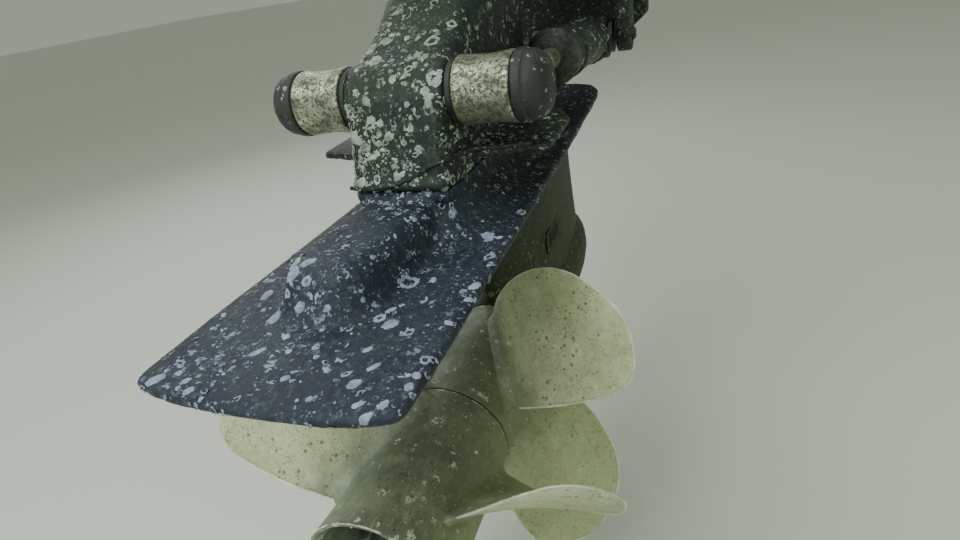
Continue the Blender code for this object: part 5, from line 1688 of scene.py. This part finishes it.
@dataclass
class SternDrive:
    """The whole drive, sub-assembly by sub-assembly."""

    wardrobe: Wardrobe = field(default_factory=Wardrobe)

    def castings(self) -> None:
        """The gearcase, the leg above it, the fork and the shield."""
        w = self.wardrobe
        case_scars = ScarSpread(density=11000.0, smallest=0.0009, largest=0.0042, seed=4, lift=0.0004,
                                focus=Vector((0.018, -0.592, -0.172)), thick_from=-0.212)
        case = Casting("gearcase", "leg", voxel=0.0027, smoothing=3, scars=case_scars).build(
            w.plate, w.plate_crust, Slot.PLATE)
        ScarPatch(case).build("ridge_and_plate_scars", self.plate_scars(), w.plate_crust, "leg", Slot.PLATE)
        leg_scars = ScarSpread(density=21000.0, smallest=0.0011, largest=0.0050, seed=8, lift=0.0005,
                               focus=Vector((-0.037, -0.576, -0.125)),
                               thick_side=Vector((0.0, -1.0, 0.0)), thick_from=0.49)
        leg = Casting("driveshaft_housing", "leg", voxel=0.0022, scars=leg_scars).build(w.leg, w.leg_crust, Slot.LEG)
        ScarPatch(leg).build("boss_and_leg_scars", self.leg_scars(), w.leg_crust, "leg", Slot.LEG)
        seam = Bead("crusted_seam", [self.seam_line()], radius=0.0020, raggedness=0.45, around=8)
        seam.build(w.leg, "leg", Slot.LEG)
        # The fork carries no crusts: at full tilt they would meet the bell.
        hidden = (("upper_gear_housing", "leg", 0.0030), ("top_cover", "leg", 0.0030), ("bell_housing", "leg", 0.0026),
                  ("steering_fork", "steering_fork", 0.0033), ("transom_shield", "transom_bracket", 0.0036))
        for index, (node, body, voxel) in enumerate(hidden):
            scars = None
            if node != "steering_fork":
                scars = ScarSpread(density=1500.0, smallest=0.0014, largest=0.0055, seed=30 + index)
            casting = Casting(node, body, voxel, smoothing=3, unevenness=0.00025, scars=scars)
            casting.build(w.leg, w.leg_crust, Slot.LEG)

    @staticmethod
    def plate_scars() -> list[Scar]:
        """The scars on the ridge and the plate that are larger than the rest."""
        top = PLATE_TOP
        ridge = [
            Scar((-0.024, -0.695, -0.175), 0.0055, 1.1, 20.0), Scar((-0.028, -0.686, -0.172), 0.0050, 1.2, 60.0),
            Scar((-0.016, -0.687, -0.169), 0.0042, 1.3, 10.0), Scar((-0.010, -0.701, -0.175), 0.0036, 1.1, 0.0, 0.30),
            Scar((-0.026, -0.703, -0.184), 0.0032, 1.0, 0.0, 0.4), Scar((-0.014, -0.710, -0.189), 0.0034, 1.2),
            Scar((-0.037, -0.710, top), 0.0050, 1.2, 40.0), Scar((0.006, -0.709, -0.189), 0.0026)]
        middle = [
            Scar((0.037, -0.660, top), 0.0062, 1.25, 15.0, 0.50), Scar((0.040, -0.693, top), 0.0020, 2.4, 15.0),
            Scar((0.037, -0.702, top), 0.0036, 1.3, 30.0, 0.35), Scar((0.047, -0.707, top), 0.0044, 1.2),
            Scar((0.063, -0.714, top), 0.0030, 1.2, 30.0, 0.5), Scar((0.084, -0.659, top), 0.0030, 1.6, 10.0),
            Scar((0.086, -0.675, top), 0.0024, 1.3), Scar((0.068, -0.586, top), 0.0046, 1.2, 20.0),
            Scar((0.081, -0.619, top), 0.0034, 1.4, 20.0, 0.5), Scar((-0.064, -0.684, top), 0.0036, 2.0, 60.0)]
        aft = [
            Scar((0.084, -0.737, top), 0.0030, 1.2, 80.0, 0.5), Scar((0.085, -0.750, top), 0.0022, 1.4, 80.0),
            Scar((0.085, -0.759, top), 0.0026, 1.3, 60.0), Scar((0.078, -0.774, top), 0.0028, 1.3, 10.0),
            Scar((0.073, -0.783, top), 0.0022, 1.8, 0.0), Scar((0.058, -0.747, top), 0.0020, 2.2, 10.0),
            Scar((0.054, -0.762, top), 0.0036, 1.2, 20.0), Scar((0.046, -0.733, top), 0.0020, 1.7),
            Scar((0.011, -0.764, top), 0.0026, 1.1), Scar((0.045, -0.755, top), 0.0018, 1.8, 0.0, 0.4),
            Scar((0.036, -0.777, top), 0.0022), Scar((0.065, -0.776, top), 0.0018, 2.2),
            Scar((-0.072, -0.778, top), 0.0045, 1.4, 10.0), Scar((-0.024, -0.745, top), 0.0026, 2.2, 5.0),
            Scar((-0.050, -0.776, top), 0.0026, 1.2), Scar((-0.041, -0.783, top), 0.0030, 1.1, 40.0)]
        return ridge + middle + aft

    @staticmethod
    def leg_scars() -> list[Scar]:
        """The larger scars on the aft face of the leg and on the boss of the cross pin."""
        boss = [
            Scar((0.036, -0.562, -0.085), 0.0062, 1.0, 0.0, 0.35), Scar((0.030, -0.567, -0.093), 0.0038),
            Scar((0.032, -0.571, -0.101), 0.0030, 1.1), Scar((0.015, -0.571, -0.100), 0.0024),
            Scar((0.002, -0.561, -0.083), 0.0030, 1.2, 40.0), Scar((0.014, -0.555, -0.078), 0.0032, 1.1, 0.0, 0.45),
            Scar((-0.019, -0.570, -0.096), 0.0042, 0.8), Scar((-0.021, -0.541, -0.073), 0.0062, 1.1, 30.0)]
        above = [
            Scar((0.015, -0.539, -0.071), 0.0036, 1.1), Scar((0.023, -0.525, -0.065), 0.0058, 1.1, 0.0, 0.45),
            Scar((0.033, -0.506, -0.056), 0.0050, 0.8, 10.0, 0.4), Scar((-0.018, -0.520, -0.062), 0.0034, 1.3)]
        below = [
            Scar((-0.003, -0.575, -0.122), 0.0038, 1.1), Scar((0.009, -0.577, -0.127), 0.0030, 0.8),
            Scar((0.021, -0.578, -0.132), 0.0032, 0.8), Scar((-0.016, -0.573, -0.109), 0.0032),
            Scar((-0.009, -0.573, -0.112), 0.0030), Scar((-0.036, -0.575, -0.121), 0.0056, 0.9),
            Scar((-0.031, -0.586, -0.153), 0.0036, 1.2), Scar((-0.017, -0.585, -0.152), 0.0034, 1.0, 0.0, 0.45),
            Scar((0.001, -0.584, -0.151), 0.0030, 1.2)]
        return boss + above + below

    @staticmethod
    def seam_line() -> list[Vector]:
        """Where the raised edge of old seal runs, from the leg's port corner up to the starboard ledge."""
        corners = [(-0.044, -0.582, -0.160), (-0.018, -0.588, -0.158), (0.003, -0.586, -0.155),
                   (0.016, -0.583, -0.151), (0.030, -0.583, -0.144), (0.038, -0.579, -0.142),
                   (0.043, -0.561, -0.143), (0.050, -0.538, -0.146), (0.068, -0.533, -0.147), (0.093, -0.527, -0.147)]
        return smooth_line([Vector(corner) for corner in corners])

    def propellers(self) -> None:
        """The two propellers."""
        front = Propeller("front_propeller", "front_propeller",
                          BladeForm(hub_r=0.056, tip_r=0.198, root_y=-0.470, phase=9.5, hand=1),
                          blades=4, start=-0.4475, end=-0.58775, shaft_r=0.0223)
        front.build(self.wardrobe, 51)
        rear = RearPropeller("rear_propeller", "rear_propeller",
                             BladeForm(hub_r=0.056, tip_r=0.183, root_y=-0.603, phase=-5.0, hand=-1),
                             blades=3, start=-0.59025, end=-0.7416, shaft_r=0.0143)
        rear.build(self.wardrobe, 52)

    def rams(self) -> None:
        """Both rams and the ends of the cross pin."""
        for side in Side:
            Ram(side).build(self.wardrobe)
            PinEnd(side).build(self.wardrobe)

    def kept_nodes(self, nodes: dict[str, bpy.types.Object]) -> None:
        """Give the solids that stay their finishes.

        Args:
            nodes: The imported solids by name.
        """
        w = self.wardrobe
        for name, node in nodes.items():
            if node.hide_render:
                continue
            material = w.steel
            if "anode" in name:
                material = w.zinc
            elif "inlet" in name:
                material = w.plain_leg
            node.data.materials.clear()
            node.data.materials.append(material)
            node.data.shade_smooth()
            node.data.set_sharp_from_angle(angle=SHARP_ANGLE)

    def bolts(self) -> None:
        """Bolts on the shield's rim."""
        face = -0.029
        places = [Vector((side.value * x, face, z)) for side in Side
                  for x, z in ((0.122, 0.20), (0.122, 0.03), (0.0965, -0.138))]
        BoltSet("shield_bolts", "transom_bracket", places, Vector((0, -1, 0)), 0.0065).build(self.wardrobe.steel)

    def build(self, nodes: dict[str, bpy.types.Object]) -> None:
        """Make everything in order.

        Args:
            nodes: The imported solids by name.
        """
        self.castings()
        self.propellers()
        self.rams()
        Boot().build(self.wardrobe)
        self.bolts()
        self.kept_nodes(nodes)


@dataclass
class Studio:
    """Camera at the photo's viewing angle, a pale floor and soft light."""

    place: Vector = field(default_factory=lambda: Vector((0.2256, -0.9586, -0.0131)))
    yaw: float = math.radians(-24.36)
    pitch: float = math.radians(27.83)
    roll: float = math.radians(-9.89)
    lens: float = 22.02
    floor: float = -0.70

    def camera(self) -> None:
        """Set the camera from its yaw, pitch down and roll."""
        ahead = Vector((math.sin(self.yaw) * math.cos(self.pitch), math.cos(self.yaw) * math.cos(self.pitch),
                        -math.sin(self.pitch)))
        level = Vector((math.cos(self.yaw), -math.sin(self.yaw), 0.0))
        upright = level.cross(ahead)
        right = level * math.cos(self.roll) + upright * math.sin(self.roll)
        up = upright * math.cos(self.roll) - level * math.sin(self.roll)
        data = bpy.data.cameras.new("photo_camera")
        data.lens = self.lens
        data.sensor_width = 36.0
        data.clip_start = 0.01
        camera = bpy.data.objects.new("photo_camera", data)
        bpy.context.scene.collection.objects.link(camera)
        turn = Matrix((right, up, -ahead)).transposed().to_4x4()
        camera.matrix_world = Matrix.Translation(self.place) @ turn
        bpy.context.scene.camera = camera

    def ground(self) -> None:
        """A wide pale floor."""
        bm = bmesh.new()
        bmesh.ops.create_grid(bm, x_segments=1, y_segments=1, size=30.0)
        floor = new_piece("floor", bm)
        floor.data.transform(Matrix.Translation((0, 0, self.floor)))
        material = bpy.data.materials.new("pale_floor")
        material.use_nodes = True
        shader = material.node_tree.nodes["Principled BSDF"]
        shader.inputs["Base Color"].default_value = (0.70, 0.72, 0.66, 1.0)
        shader.inputs["Roughness"].default_value = 0.9
        floor.data.materials.append(material)

    def lamp(self, name: str, place: Vector, aim: Vector, size: float, power: float, colour: Colour) -> None:
        """One soft area lamp.

        Args:
            name: Name of the lamp.
            place: Where it hangs.
            aim: What it points at.
            size: Its side, in metres.
            power: Its power in watts.
            colour: Its colour.
        """
        data = bpy.data.lights.new(name, "AREA")
        data.size = size
        data.energy = power
        data.color = colour
        lamp = bpy.data.objects.new(name, data)
        bpy.context.scene.collection.objects.link(lamp)
        lamp.matrix_world = Matrix.Translation(place) @ (aim - place).to_track_quat("-Z", "Y").to_matrix().to_4x4()

    def build(self) -> None:
        """Make the studio."""
        self.camera()
        self.ground()
        target = Vector((0.0, -0.57, -0.25))
        self.lamp("top_lamp", Vector((-0.5, -1.32, 1.6)), target, 1.8, 36.0, (0.96, 1.0, 0.92))
        self.lamp("side_lamp", Vector((1.7, -1.62, 0.5)), target, 1.4, 7.0, (0.90, 1.0, 0.82))
        self.lamp("low_lamp", Vector((-0.25, -1.55, 0.18)), Vector((0.0, -0.54, -0.10)), 0.5, 3.2, (0.95, 0.96, 1.0))
        self.lamp("bow_lamp", Vector((-1.4, 0.78, 0.9)), target, 1.4, 12.0, (0.95, 0.98, 1.0))
        world = bpy.data.worlds.new("pale_air")
        world.use_nodes = True
        sky = world.node_tree.nodes["Background"]
        sky.inputs[0].default_value = (0.76, 0.87, 0.72, 1.0)
        sky.inputs[1].default_value = 0.43
        bpy.context.scene.world = world


def main() -> None:
    """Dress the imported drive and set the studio."""
    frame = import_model()
    SternDrive().build(frame["nodes"])
    Studio().build()


if __name__ == "__main__":
    logging.basicConfig(level=logging.INFO, format="%(message)s")
    main()
